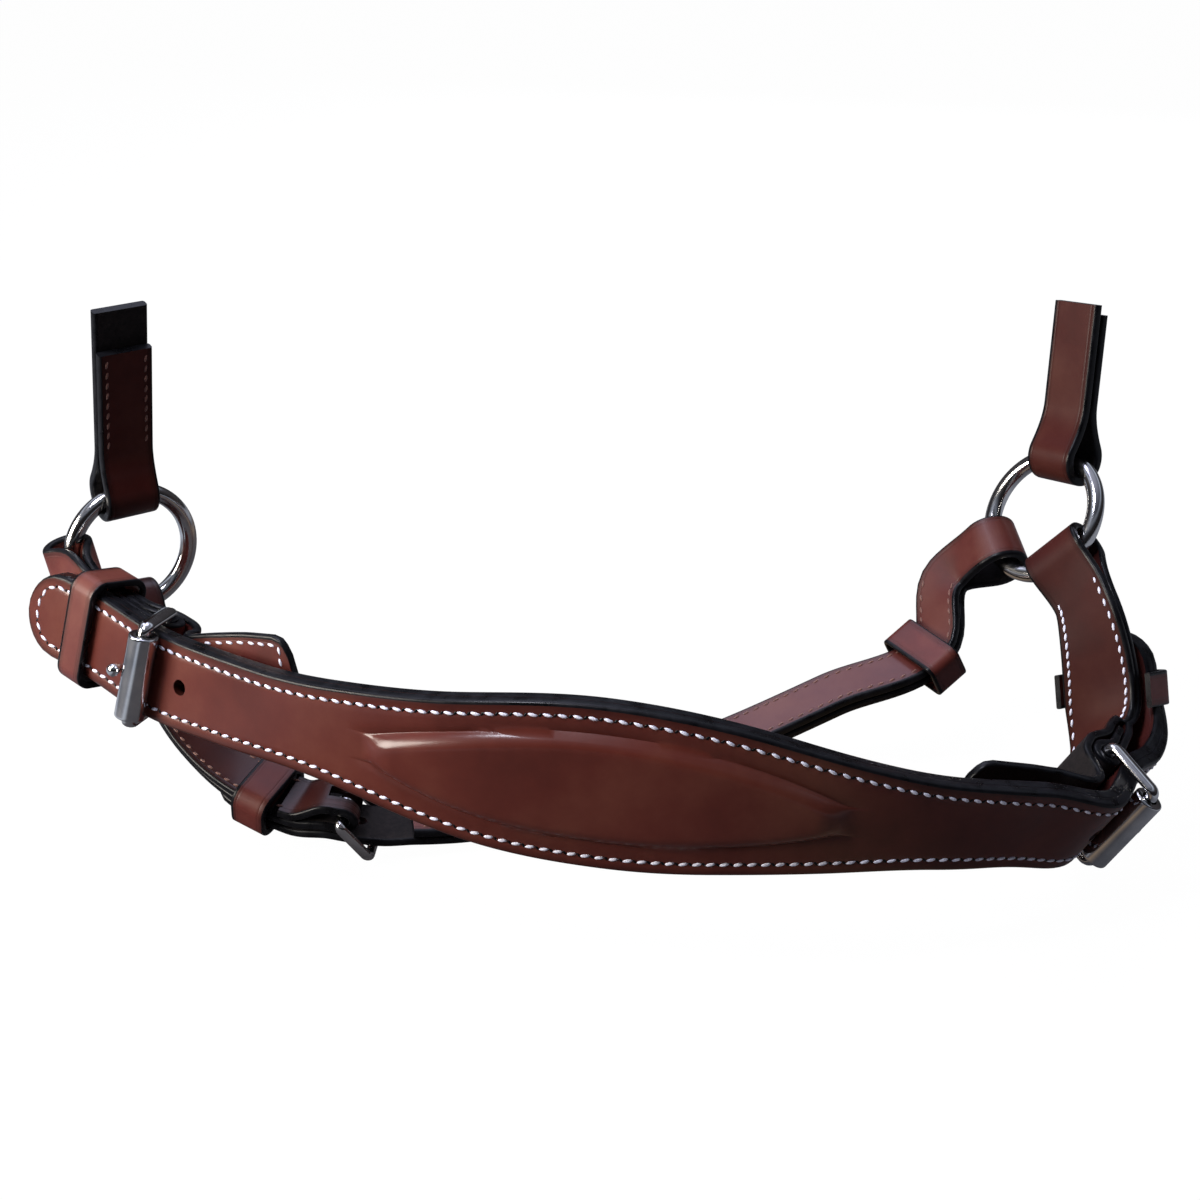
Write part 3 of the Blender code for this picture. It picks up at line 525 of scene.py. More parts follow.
noseLine = StrapLine(nosePoints, noseWidths)
noseMiddle = noseLine.nearest(Vector((0, -6, 0)))


def tipShare(distance, length):
    if distance >= length:
        return 1.0
    t = 1 - distance / length
    return max(math.sqrt(max(1 - t * t, 0)), 0.12)


def noseHalf(s):
    swell = max(1 - abs(s - noseMiddle) / nosePiece["swellHalfLength"], 0)
    half = mix(nosePiece["endWidth"], nosePiece["middleWidth"], (1 - math.cos(math.pi * swell)) / 2) / 2
    return half * tipShare(s, nosePiece["tip"]) * tipShare(noseLine.length - s, nosePiece["tip"])


def padShape(s):
    # half the raised part's width, and its rise
    share = max(1 - ((s - noseMiddle) / nosePiece["padHalfLength"]) ** 2, 0)
    half = mix(nosePiece["padEndHalfWidth"], nosePiece["padHalfWidth"], share)
    return half, nosePiece["padRise"] * min(share / 0.18, 1) ** 0.5 if share else 0.0


def noseHeight(s, w, half):
    # the show face's height: the raised middle, the crease at its foot and the sewn channel
    pad, rise = padShape(s)
    foot = pad + nosePiece["padSlope"]
    inside = min(max((foot - abs(w)) / min(nosePiece["padShoulder"], foot * 0.8), 0), 1)
    height = rise * (1 - (1 - inside) ** 2.4) * (1 + 0.1 * max(1 - (w / pad) ** 2, 0))
    fadeStart, creaseDepth, channelDepth = nosePiece["padHalfLength"] + 6, 0.35, 0.22
    if abs(s - noseMiddle) < fadeStart:
        fade = smooth((fadeStart - abs(s - noseMiddle)) / 6)
        height -= creaseDepth * fade * math.exp(-(((abs(w) - foot - 0.15) / 0.4) ** 2))
    channel = (abs(w) - (half - nosePiece["stitchInset"])) / 0.55
    return height - channelDepth * math.exp(-(channel**2))


def roundedEdge(half, low, high, size, side, under=None, steps=4):
    # from the show face round one edge to the back, as (w, n)
    under = size if under is None else under
    made = arc((half - size, high - size), size, 90, 0, steps)
    made += arc((half - under, low + under), under, 0, -90, steps)
    return made if side > 0 else [(-w, n) for w, n in reversed(made)]


def faceSection(s, half, squeeze):
    # one section of the outer layer as (w, n), from the upper border over the show face and back
    pad, rise = padShape(s)
    pad = min(pad, half * 0.5)
    foot = pad + nosePiece["padSlope"] * squeeze
    shoulder = min(nosePiece["padShoulder"] * squeeze, foot * 0.8)
    size = nosePiece["edgeRound"] * squeeze
    seam = half - nosePiece["stitchInset"] * squeeze
    columns = [half - size * 1.6] + [seam + t * squeeze for t in (0.9, 0.45, 0, -0.45, -0.9)]
    inner, outer = foot + 0.9 * squeeze, columns[-1]
    if outer > inner:
        columns += [mix(outer, inner, t) for t in (0.25, 0.5, 0.75)]
    else:
        columns += [mix(outer, foot, t) for t in (0.2, 0.3, 0.4)]
    inner = min(inner, columns[-1])
    columns += [mix(inner, foot, 0.6), foot + 0.15 * squeeze]
    columns += [foot - shoulder * t for t in (0.0, 0.06, 0.14, 0.26, 0.42, 0.62, 0.82, 1.0)]
    columns += [(foot - shoulder) * t for t in (0.75, 0.5, 0.25)]
    columns = columns + [0.0] + [-w for w in reversed(columns)]
    low = -nosePiece["layer"]
    right, left = (roundedEdge(half, low, 0, size, side, 0.12 * squeeze) for side in (1, -1))
    # under the raised part the layer follows the filler up
    under = [
        (w, low + rise * 0.98 * smooth((foot - abs(w)) / max(foot - pad, 0.1)))
        for w in (-foot, -pad, -pad * 0.5, 0, pad * 0.5, pad, foot)
    ]
    face = [(w, noseHeight(s, w, half) if squeeze == 1 else -0.05) for w in columns]
    return face + left[::-1] + under + right[::-1]


def liningSection(half, size):
    top, bottom = -nosePiece["layer"] - 0.05, nosePiece["liningBack"]
    section = [(half, top), (0, top), (-half, top)] + arc((size - half, bottom + size), size, 180, 270, 5)
    section += [(w * (half - size), bottom) for w in (-0.75, -0.5, -0.25, 0, 0.25, 0.5, 0.75)]
    return section + arc((half - size, bottom + size), size, -90, 0, 5)


def makeNoseLayers():
    # stations lie closer together towards the two rounded tips
    ends, tip, length = [0, 0.15, 0.5, 1.1, 2.0, 3.4, 5.2, 7.6], nosePiece["tip"], noseLine.length
    stations = ends + evenSteps(tip, length - tip, 2.2) + [length - end for end in reversed(ends)]
    rows, borders = ([], []), ([], [])
    for s in stations:
        half, spot = noseHalf(s), noseLine.spot(s)
        squeeze = min(1, half / 12)
        sections = faceSection(s, half, squeeze), liningSection(half, nosePiece["edgeRound"] * squeeze)
        for section, madeRows, madeBorders in zip(sections, rows, borders):
            madeRows.append([spot.at(0, n, w) for w, n in section])
            madeBorders.append([half - abs(w) for w, n in section])
    # the upper border's edge shows black, and the lower one's from its side down
    shown = len(rows[0][0]) - 27
    edges = set(range(shown + 4, shown + 9)) | set(range(shown + 17, shown + 26))
    face = skinRows(rows[0], border=borders[0], edgeColumns=edges)
    lining = skinRows(rows[1], border=borders[1], edgeColumns={*range(1, 8), *range(16, 23)})
    return (
        finishObject("noseFace", face, [noseBrown, black], "noseband", ["nose_face"]),
        finishObject("noseLining", lining, [liningBrown, black], "noseband", ["nose_lining"]),
    )


noseLayers = makeNoseLayers()
for buckle in (leftBuckle, rightBuckle):
    holePlace = nosePiece["holePlace"]
    used = Spot(buckle.at(holePlace, 0), buckle.a, buckle.w, buckle.n)
    found = noseLine.spot(noseLine.nearest(buckle.at(holePlace - nosePiece["holePitch"], 0)))
    spare = Spot(found.origin, buckle.a, found.w, found.n)
    for spot, stretch in ((used, nosePiece["prongSlot"]), (spare, 0.0)):
        for target in noseLayers:
            cutHole(target, holeCutter(spot, stretch, nosePiece["holeRadius"], -9, 4))
print("nose piece ready")

# the felt under the raised part
filler = {"halfLength": 60, "step": 3, "inset": 1.2, "low": -2.83, "cover": 0.35, "corner": 0.3}
fillerRows = []
for s in evenSteps(noseMiddle - filler["halfLength"], noseMiddle + filler["halfLength"], filler["step"]):
    pad, rise = padShape(s)
    pad, low = pad - filler["inset"], filler["low"]
    high = low + rise - filler["cover"]
    shoulder = high - filler["corner"]
    section = [(-pad, low), (pad, low), (pad, shoulder), (pad * 0.6, high), (0, high)]
    section += [(-pad * 0.6, high), (-pad, shoulder)]
    spot = noseLine.spot(s)
    fillerRows.append([spot.at(0, n, w) for w, n in section])
finishObject("noseFelt", skinRows(fillerRows), [felt], "noseband", ["nose_filler"], 40)


# Stitching

def stitchRow(name, spots, thread, body, size, slant=12):
    # the size is each stitch's length, width and height
    bm = bmesh.new()
    turn = math.radians(slant)
    for spot in spots:
        along = spot.a * math.cos(turn) + spot.w * math.sin(turn)
        across = spot.w * math.cos(turn) - spot.a * math.sin(turn)
        basis = [way * length / 2 for way, length in zip((along, across, spot.n), size)]
        basis = Matrix.Translation(spot.origin * mm) @ Matrix(basis).transposed().to_4x4()
        bmesh.ops.create_uvsphere(bm, u_segments=8, v_segments=6, radius=mm, matrix=basis)
    return finishObject(name, bm, [thread], body, smoothAngle=80)


def stitchesBeside(line, start, finish, pitch, height, inset):
    # places for the stitches of one row; the sign of inset says which border
    def place(s):
        return line.spot(s).at(0, height, inset(s) if callable(inset) else inset)

    count = round(abs(finish - start) / pitch)
    made = []
    for i in range(count):
        s = mix(start, finish, (i + 0.5) / count)
        spot = line.spot(s)
        made.append(Spot(place(s), place(s + 1) - place(s), spot.w, spot.n))
    return made


def turnedOver(spots):
    return [Spot(spot.origin, spot.a, spot.w, -spot.n) for spot in spots]


def noseOutline():
    # the sewn line, as (along, across), from one tip's middle along the upper border to the other's
    inset, tip = nosePiece["stitchInset"], nosePiece["tip"]
    half = nosePiece["endWidth"] / 2 - inset
    start = []
    for t in range(0, 90, 6):
        turn = math.radians(t)
        start.append((tip - (tip - inset) * math.cos(turn), half * math.sin(turn)))
    middle = [(s, noseHalf(s) - inset) for s in evenSteps(tip, noseLine.length - tip, 1.5)]
    return start + middle + [(noseLine.length - s, w) for s, w in reversed(start)]


def walk(points, pitch):
    # places at even pitch along a line of points, each with the direction there
    run = [0.0]
    for p, q in zip(points, points[1:]):
        run.append(run[-1] + math.dist(p, q))
    count = round(run[-1] / pitch)
    made, k = [], 0
    for i in range(count):
        want = run[-1] * (i + 0.5) / count
        while run[k + 1] < want:
            k += 1
        t = (want - run[k]) / (run[k + 1] - run[k])
        p, q = points[k], points[k + 1]
        made.append((mix(p[0], q[0], t), mix(p[1], q[1], t), q[0] - p[0], q[1] - p[1]))
    return made


def seamSpot(s, height, w, way, level):
    # level where the seam runs along the nose piece, not round its tip
    spot = noseLine.spot(s)
    return Spot(spot.at(0, height, w), way, spot.w if level else spot.a, spot.n)


for side, word in ((1, "upper"), (-1, "lower")):
    stitches, prickShades = [], []
    half = nosePiece["stitchPitch"] / 2
    for s, w, alongStep, acrossStep in walk(noseOutline(), nosePiece["stitchPitch"]):
        length = math.hypot(alongStep, acrossStep)
        level = abs(alongStep) > abs(acrossStep)
        spot = noseLine.spot(s)
        way = spot.a * alongStep + spot.w * acrossStep * side
        stitches.append(seamSpot(s, -0.1, w * side, way, level))
        ahead, aside = half * alongStep / length, half * acrossStep / length
        prickShades.append(seamSpot(s + ahead, -0.2, (w + aside) * side, way, level))
    stitchRow("noseStitches_" + word, stitches, paleThread, "noseband", nosePiece["stitch"], -14 * side)
    # the black dabs half a pitch from each stitch, in its awl hole, are painted shade
    stitchRow("nosePrickShades_" + word, prickShades, black, "noseband", nosePiece["prickShade"], 52 * side)
print("nose stitches ready")


# Straps

def strapRows(line, path, width, thickness, tips=(0, 0), rounding=0.75):
    spots = []
    for along, height in path:
        spot = line.spot(along)
        spots.append((spot.at(0, height), spot.w, along))
    run = [0.0]
    for (p, _, _), (q, _, _) in zip(spots, spots[1:]):
        run.append(run[-1] + (q - p).length)
    rows, borders = [], []
    for i, (place, w, along) in enumerate(spots):
        way = spots[min(i + 1, len(spots) - 1)][0] - spots[max(i - 1, 0)][0]
        spot = Spot(place, way, w)
        half = (width(along) if callable(width) else width) / 2
        half *= tipShare(run[i], tips[0]) * tipShare(run[-1] - run[i], tips[1])
        size = min(rounding, half * 0.4)
        flat = [half - size * 1.5, half - 1.8, half * 0.6, 0, -half * 0.6, 1.8 - half, size * 1.5 - half]
        if half < 4:
            flat = [half * t for t in (0.7, 0.6, 0.4, 0, -0.4, -0.6, -0.7)]
        high, low = thickness / 2, -thickness / 2
        section = [(x, high) for x in flat] + roundedEdge(half, low, high, size, -1)[::-1]
        section += [(-x, low) for x in flat] + roundedEdge(half, low, high, size, 1)[::-1]
        rows.append([spot.at(0, n, x) for x, n in section])
        borders.append([half - abs(x) for x, n in section])
    return rows, borders


strapEdges = {*range(7, 16), *range(24, 34)}


def fine(path, size=2.5):
    # more points on the long straight runs, so that they follow the line's curve
    made = [path[0]]
    for p, q in zip(path, path[1:]):
        count = max(math.ceil(math.dist(p, q) / size), 1)
        made += [(mix(p[0], q[0], i / count), mix(p[1], q[1], i / count)) for i in range(1, count + 1)]
    return made


def makeStrap(name, line, path, width, thickness, materials, body, node, tips=(0, 0), outer=0):
    path = fine(path)
    rows, borders = strapRows(line, path, width, thickness, tips)
    fleshColumns = ()
    if len(materials) > 2:
        # the row at the middle of a straight run tells which side is the loop's outer one
        row, place = rows[outer], line.spot(path[outer][0])
        showing = (row[3] - row[19]).dot(place.n) * path[outer][1] > 0
        fleshColumns = range(16, 24) if showing else range(7)
    bm = skinRows(rows, border=borders, edgeColumns=strapEdges, fleshColumns=fleshColumns)
    return finishObject(name, bm, materials, body, [node])


def makeSide(name, node, line, buckle, leather):
    layer, neck, end = sideStrap["layer"], line.end - sideStrap["neck"], -safe["length"]
    middle = heelBar[1] - sideStrap["middle"]
    wrap = buckleSteel["bar"] + 0.2 + layer / 2
    step = layer + layGap
    leg = step / 2
    # round the heel bar, out to the ring, back again and on behind the nose piece
    path = [(22, 0), (17, 0)] + ease((13.5, 0), (5.2, middle - wrap), 8)
    path += arc((heelBar[0], middle), wrap, -90, -270, 20)
    path += [(8, step), (12, step), (17, step)] + ease((22, step), (32, leg), 8)[:-1] + [(32, leg)]
    path += bendLine(line.end, sideStrap["hollow"] + layer / 2, leg, sideStrap["neck"])
    path += ease((32, -leg), (22, -step), 8) + ease((17.5, -step - 0.05), (5.5, middle - wrap - step), 10)
    path += ease((1.5, middle - wrap - step), (-13, step), 14)
    path += [(4 + end, step), (1.2 + end, step), (end, step)]

    def width(along):
        share = min(max((along - 34) / (neck - 34), 0), 1)
        return mix(sideStrap["width"], sideStrap["ringWidth"], share)

    made = makeStrap(name, line, path, width, layer, [leather, black], "noseband", node, (0, 6))
    if buckle is rightBuckle:
        # the flesh side shows where the strap turns back at the heel bar and behind the nose piece
        made.data.materials.append(flesh)
        for face in made.data.polygons:
            if face.material_index == 0 and (face.center / mm - buckle.origin).dot(buckle.a) < 9:
                face.material_index = 2
    slot = heelBar[1] - wrap - layer / 2 - layGap / 2, -6.1
    cutHole(made, boxCutter(buckle, (-2.2, 9.2), slot, buckleSteel["prongEyeWidth"] / 2 + 0.6))

    def border(s):
        return width(s) / 2 - sideStrap["stitchInset"]

    def narrowing(s):
        return border(s) * (1 - (s - neck - 4) * 0.12)

    # two rows of stitching on the layer that lies behind, and round the safe
    back, onSafe, pitch = -leg - layer / 2, safe["stitchHalfWidth"], sideStrap["stitchPitch"]
    for side, word in ((1, "upper"), (-1, "lower")):
        row = stitchesBeside(line, 30, neck + 4, pitch, back, lambda s: side * border(s))
        if side > 0:
            row += stitchesBeside(line, neck + 4.5, neck + 7.5, 1.7, back, narrowing)
        row += stitchesBeside(line, 6 + end, -14, 3.6, step - layer / 2, side * onSafe)
        row = turnedOver(row)
        if buckle is leftBuckle:
            row += stitchesBeside(line, 5 + end, -14, 3.4, step + layer / 2, side * onSafe)
        if buckle is leftBuckle and side > 0:
            spot, show = line.spot(4 + end), step + layer / 2
            row += [Spot(spot.at(0, show, w), spot.w, spot.a, spot.n) for w in evenSteps(-8, 8, 3.2)]
        stitchRow(name + "Stitches_" + word, row, paleThread, "noseband", sideStrap["stitch"])


leftSideLine = sideLine(
    noseLine, leftBuckle, leftRing, sideStrap["leftDegrees"], leftWay, safe["leftSink"], safe["leftLift"]
)
rightSideLine = sideLine(
    noseLine, rightBuckle, rightRing, sideStrap["rightDegrees"], rightWay, safe["rightSink"]
)
makeSide("sideStrapLeft", "side_piece_left", leftSideLine, leftBuckle, brown)
makeSide("sideStrapRight", "side_piece_right", rightSideLine, rightBuckle, shadedSideBrown)
print("side pieces ready")

cheekStrap = {
    "layer": 2.8, "width": 16.0, "hollow": 5.0, "depth": 18.8, "neck": 16.0,
    "left": {"up": (0.089, -0.198, 0.976), "length": 60.0, "lap": 48.0, "behind": (0, 100, 0)},
    "right": {"up": (0.055, 0.2, 0.98), "length": 46.0, "lap": 43.0, "behind": (-100, -100, 0)},
    "stitch": (2.3, 0.8, 0.5), "stitchPitch": 3.4, "stitchInset": 2.2,
}


def makeCheek(word, ring):
    # doubled round the ring, with the lap in front
    shape, neck, layer, width = (cheekStrap[key] for key in (word, "neck", "layer", "width"))
    centre, along = ringPlace(ring, 90, cheekStrap["depth"])
    up = squareTo(along, Vector(shape["up"]))
    points = [centre + up * shape["length"], centre + up * neck, centre]
    line = StrapLine(points, [along] * 3, inside=centre + Vector(shape["behind"]))
    leg, top, body = (layer + layGap) / 2, line.end - shape["lap"], "cheek_" + word
    path = [(top, leg)] + bendLine(line.end, cheekStrap["hollow"] + layer / 2, leg, neck) + [(0, -leg)]
    name, materials = "cheekStrap" + word.title(), [cheekBrownWithShade, black, flesh]
    makeStrap(name, line, path, width, layer, materials, body, "cheek_strap_" + word, outer=2)
    for side, border in ((1, "outer"), (-1, "inner")):
        inset = side * (width / 2 - cheekStrap["stitchInset"])
        pitch, height = cheekStrap["stitchPitch"], leg + layer / 2
        row = stitchesBeside(line, top + 1.5, line.end - 17, pitch, height, inset)
        stitchRow(name + "Stitches_" + border, row, brownThread, body, cheekStrap["stitch"])


makeCheek("left", leftRing)
makeCheek("right", rightRing)
print("cheek straps ready")

chinStrap = {
    "layer": 2.6, "width": 15.0, "hollow": 5.9, "depth": 19.2, "neck": 16.0,
    "leftDegrees": -95.0, "rightDegrees": 228.0, "keeperWidth": 11.0,
    "buckle": (-72.8, 50.2, -41.4), "keeperLeft": (-95.3, 55.8, -36.4), "keeperRight": (102.1, 104.8, -14.2),
    "stitch": (2.2, 0.8, 0.5), "stitchPitch": 3.4, "stitchInset": 5.2,
}
chinSteel = {
    "bar": 1.4, "heel": -3.8, "sideThickness": 2.2, "sideDepth": 3.4, "prong": 1.1, "prongTip": 1.3,
    "prongLength": 15.5, "prongEye": 2.8, "prongEyeWidth": 3.2,
}
# the chin strap's course from the right ring to the left one, with its width direction at each point
chinCourse = [
    (chinStrap["keeperRight"], (0.38, -0.92, -0.15)), ((69.8, 95.7, -26.7), (0.38, -0.92, -0.15)),
    ((39.1, 85.6, -36.6), (0.36, -0.92, -0.15)), ((-11.7, 65.0, -45.2), (0.3, -0.94, -0.15)),
    ((-43.2, 53.9, -45.3), (0.25, -0.95, -0.18)), (chinStrap["buckle"], (0.15, -0.96, -0.2)),
    (chinStrap["keeperLeft"], (-0.1, -0.9, -0.35)), ((-117.0, 73.0, -28.0), (-0.5, -0.7, -0.45)),
]


def makeChinLine():
    points = [Vector(place) for place, _ in chinCourse]
    widths = [unit(*width) for _, width in chinCourse]
    leftEnd, leftAlong = ringPlace(leftRing, chinStrap["leftDegrees"], chinStrap["depth"])
    rightEnd, rightAlong = ringPlace(rightRing, chinStrap["rightDegrees"], chinStrap["depth"])
    leftAlong = leftAlong if leftAlong.dot(widths[-1]) > 0 else -leftAlong
    rightAlong = rightAlong if rightAlong.dot(widths[0]) > 0 else -rightAlong
    rightNeck = rightEnd + squareTo(rightAlong, points[0] - rightEnd) * chinStrap["neck"]
    leftNeck = leftEnd + squareTo(leftAlong, points[-1] - leftEnd) * chinStrap["neck"]
    points = [rightEnd, rightNeck, *points, leftNeck, leftEnd]
    widths = [rightAlong, rightAlong, *widths, leftAlong, leftAlong]
    return StrapLine(points, widths, zero=Vector(chinStrap["buckle"]))


chinLine = makeChinLine()
chinBuckle = chinLine.spot(0)
neck, layer, heel = chinStrap["neck"], chinStrap["layer"], chinSteel["heel"]
step = layer + layGap
leg = step / 2
wrap = chinSteel["bar"] + 0.45 + layer / 2
over = heel + wrap + step + 0.1  # the long strap's height where it passes through the buckle
chinBend = chinStrap["hollow"] + layer / 2

path = [(17, -leg)] + ease((14, -leg), (4, heel - wrap), 8) + arc((0, heel), wrap, -90, -270, 20)
path += ease((3, heel + wrap), (14, leg), 8)
path += bendLine(chinLine.end, chinBend, leg, neck) + [(18.5, -leg)]
materials = [darkBrown, black, flesh]
width = chinStrap["width"]
shortStrap = makeStrap(
    "chinShortStrap", chinLine, path, width, layer, materials, "chin", "chin_short_strap", outer=-2
)
cutHole(shortStrap, boxCutter(chinBuckle, (-5, 5), (heel - wrap - 3, heel + wrap + 2.2), 2.1))

path = [(s, over + layer) for s in (40, 39.6, 39, 38, 36.5, 34, 26, 20)]
path += ease((14, over + layer), (2, over), 8) + [(-2, over), (-6, over)] + ease((-10, over), (-20, leg), 6)
bend = bendLine(chinLine.start, chinBend, leg, neck)
path += [(2 * chinLine.start - s, y) for s, y in bend] + [(-19, -leg)]
materials = [chinBrown, black, flesh]
longStrap = makeStrap(
    "chinLongStrap", chinLine, path, width, layer, materials, "chin", "chin_strap", (7, 0), -2
)
spot = chinLine.spot(-4.0)
cutHole(longStrap, holeCutter(Spot(spot.at(-1, 0), spot.a, spot.w, spot.n), 2.2, 1.5, -12, 4))
for side, word in ((1, "outer"), (-1, "inner")):
    row = []
    for start, finish in ((15.5, chinLine.end - 18), (-21, chinLine.start + 19)):
        pitch, inset = chinStrap["stitchPitch"], side * chinStrap["stitchInset"]
        row += turnedOver(stitchesBeside(chinLine, start, finish, pitch, -leg - layer / 2, inset))
    stitchRow("chinStitches_" + word, row, brownThread, "chin", chinStrap["stitch"])
print("chin straps ready")


# Keepers

def roundedLoop(half, low, high, radius, steps=10):
    made = []
    x, top, bottom = half - radius, high - radius, low + radius
    for x, y, start in ((x, top, 0), (-x, top, 90), (-x, bottom, 180), (x, bottom, 270)):
        for k in range(steps + 1):
            turn = math.radians(start + 90 * k / steps)
            made.append((x + radius * math.cos(turn), y + radius * math.sin(turn), turn))
    return made


def makeKeeper(name, node, spot, half, low, high, width, foot=None, corner=3.0, thick=1.0, body="noseband"):
    # a leather loop round the straps; with a foot it is open, its two ends stopping there
    outline = roundedLoop(half + thick, low - thick, high + thick, thick + corner)
    if foot is not None:
        above = [place for place in outline if place[1] > foot]
        outline = [(half + thick, foot, 0.0), *above, (-half - thick, foot, math.pi)]
    dense = []
    for p, q in zip(outline, outline[1:] + (outline[:1] if foot is None else [])):
        count = max(math.ceil(math.dist(p[:2], q[:2]) / 2.5), 1)
        dense += [(mix(p[0], q[0], i / count), mix(p[1], q[1], i / count), p[2]) for i in range(count)]
    dense += outline[-1:] if foot is not None else []
    edge = width / 2
    rim = roundedEdge(edge, -thick, thick, 0.5, 1)
    section = [(a, thick) for a in (edge - 1.0, width / 4, 0, -width / 4, 1.0 - edge)]
    section += [(-w, n) for w, n in rim] + [(a, -thick) for a in (1.0 - edge, 0, edge - 1.0)] + rim[::-1]
    rows = []
    for x, y, turn in dense:
        rows.append([spot.at(a, y + t * math.sin(turn), x + t * math.cos(turn)) for a, t in section])
    borders = [[edge - abs(a) for a, t in section]] * len(rows)
    edges = {*range(5, 15), *range(18, 28)}
    bm = skinRows(rows, closedRows=foot is None, border=borders, edgeColumns=edges)
    finishObject(name, bm, [brown, black], body, [node])


def chinSpot(place, further=0):
    return chinLine.spot(chinLine.nearest(Vector(chinStrap[place])) - chinLine.zero + further)


keeperWidth = 10.0
keeperSpot = Spot(leftBuckle.at(27.0, 0), leftBuckle.a, leftBuckle.w, leftBuckle.n)
makeKeeper("keeperLeft", "keeper_left", keeperSpot, 14.5, -14.7, 0.9, keeperWidth)
keeperSpot = rightSideLine.spot(46)
makeKeeper("keeperRight", "keeper_right", keeperSpot, 13.5, -4.3, tailLift + 3.2, keeperWidth, 0.3, thick=0.8)
keeperWidth, half, reach = chinStrap["keeperWidth"], width / 2 + 0.4, step + 1.9
keeperSpot, top = chinSpot("keeperLeft"), over + layer * 1.5 + 1.0
makeKeeper(
    "chinKeeperLeft", "chin_keeper_left", keeperSpot, half + 0.7, -step - 0.7, top, keeperWidth, body="chin"
)
keeperSpot = chinSpot("keeperRight", 5)
makeKeeper(
    "chinKeeperRight", "chin_keeper_right", keeperSpot, half + 2.5, -reach, reach, keeperWidth,
    corner=1.6, thick=0.7, body="chin_keeper",
)
print("keepers ready")


# Steel

ringWire = {"radius": 18.5, "wire": 2.5}


def makeRing(name, node, ring):
    # a circle of wire set out from the middle, spun once round the ring's axis
    bm = bmesh.new()
    out = Matrix.Translation((ringWire["radius"] * mm, 0, 0)) @ Matrix.Rotation(math.pi / 2, 4, "X")
    bmesh.ops.create_circle(bm, segments=24, radius=ringWire["wire"] * mm, matrix=out)
    wire = bm.verts[:] + bm.edges[:]
    bmesh.ops.spin(bm, geom=wire, cent=(0, 0, 0), axis=(0, 0, 1), angle=math.tau, steps=96, use_merge=True)
    bmesh.ops.remove_doubles(bm, verts=bm.verts, dist=1e-7)
    turn = Matrix((ring.a, ring.n.cross(ring.a), ring.n)).transposed().to_4x4()
    bmesh.ops.transform(bm, matrix=Matrix.Translation(ring.origin * mm) @ turn, verts=bm.verts)
    finishObject(name, bm, [steel], node, [node], 80)


makeRing("ringLeft", "ring_left", leftRing)
makeRing("ringRight", "ring_right", rightRing)


def makeFrame(name, node, body, place, reach, strapWidth, look):
    # round bars at the heel and the front, deeper and flatter at the two sides
    bar, thickness = look["bar"], look["sideThickness"]
    rows = []
    for x, y, turn in roundedLoop(strapWidth / 2 + 0.8 + thickness / 2, 0, reach, bar):
        share = math.cos(turn) ** 2
        thick, deep = mix(bar, thickness / 2, share), mix(bar, look["sideDepth"] / 2, share)
        row = []
        for around in turns(20):
            out = thick * math.cos(around)
            row.append(place.at(y + out * math.sin(turn), deep * math.sin(around), x + out * math.cos(turn)))
        rows.append(row)
    finishObject(name, skinRows(rows, closedRows=True), [steel], body, [node], 60)


def turnedRows(place, outline, count):
    # the outline's (radius, place along the axis) points, turned round the axis
    rows = []
    for turn in turns(count):
        rows.append([place.at(r * math.cos(turn), r * math.sin(turn), x) for r, x in outline])
    return rows


def makeRoller(name, node, place, half):
    r, bore = buckleSteel["roller"], buckleSteel["bore"]
    corner, rest = 0.5, 0.9  # a ring of points just past each rounded end keeps the long face even
    outline = arc((-half + corner, r - corner), corner, 180, 90, 4) + [(rest - half, r), (half - rest, r)]
    outline += arc((half - corner, r - corner), corner, 90, 0, 4)
    outline = [(bore, -half)] + [(y, x) for x, y in outline] + [(bore, half)]
    finishObject(name, skinRows(turnedRows(place, outline, 36), closedRows=True), [steel], node, [node])


def makeProng(name, node, place, look, bore):
    length, radius, tip, eye = (look[key] for key in ("prongLength", "prong", "prongTip", "prongEye"))
    profile = [(eye - 0.6, radius * 1.15), (eye + 1, radius * 1.05), (length * 0.55, radius)]
    profile += [(length * 0.8, radius * 0.9), (length * 0.86, radius * 1.0), (length * 0.9, tip)]
    profile += [(length * 0.95, tip * 1.02), (length * 0.985, tip * 0.75), (length, tip * 0.25)]
    rows = []
    for a, size in profile:
        rows.append([place.at(a, size * math.cos(turn), size * math.sin(turn)) for turn in turns(18)])
    finishObject(name, skinRows(rows), [steel], node, [node], 60)
    half = look["prongEyeWidth"] / 2
    outline = [(bore, -half + 0.4), (bore + 0.3, -half), (eye - 0.4, -half), (eye, 0.4 - half)]
    outline += [(r, -x) for r, x in reversed(outline)]
    finishObject(name + "Eye", skinRows(turnedRows(place, outline, 28), closedRows=True), [steel], node)


def leaning(spot, origin, along, out):
    return Spot(origin, spot.a * along + spot.n * out, spot.w)


for word, buckle in (("left", leftBuckle), ("right", rightBuckle)):
    rise = Vector((rollerBar[0] - heelBar[0], rollerBar[1] - heelBar[1]))
    place = leaning(buckle, buckle.at(*heelBar), rise.x, rise.y)
    name, strapWidth = "buckle" + word.title(), nosePiece["endWidth"]
    makeFrame(name, "buckle_frame_" + word, "noseband", place, rise.length, strapWidth, buckleSteel)
    place = Spot(buckle.at(*rollerBar), buckle.a, buckle.w, buckle.n)
    makeRoller("roller" + word.title(), "roller_" + word, place, strapWidth / 2 - 0.1)
    lean = math.radians(buckleSteel["lean"])
    place = leaning(buckle, buckle.at(*heelBar), math.cos(lean), math.sin(lean))
    makeProng("prong" + word.title(), "prong_" + word, place, buckleSteel, buckleSteel["bar"] + 0.3)

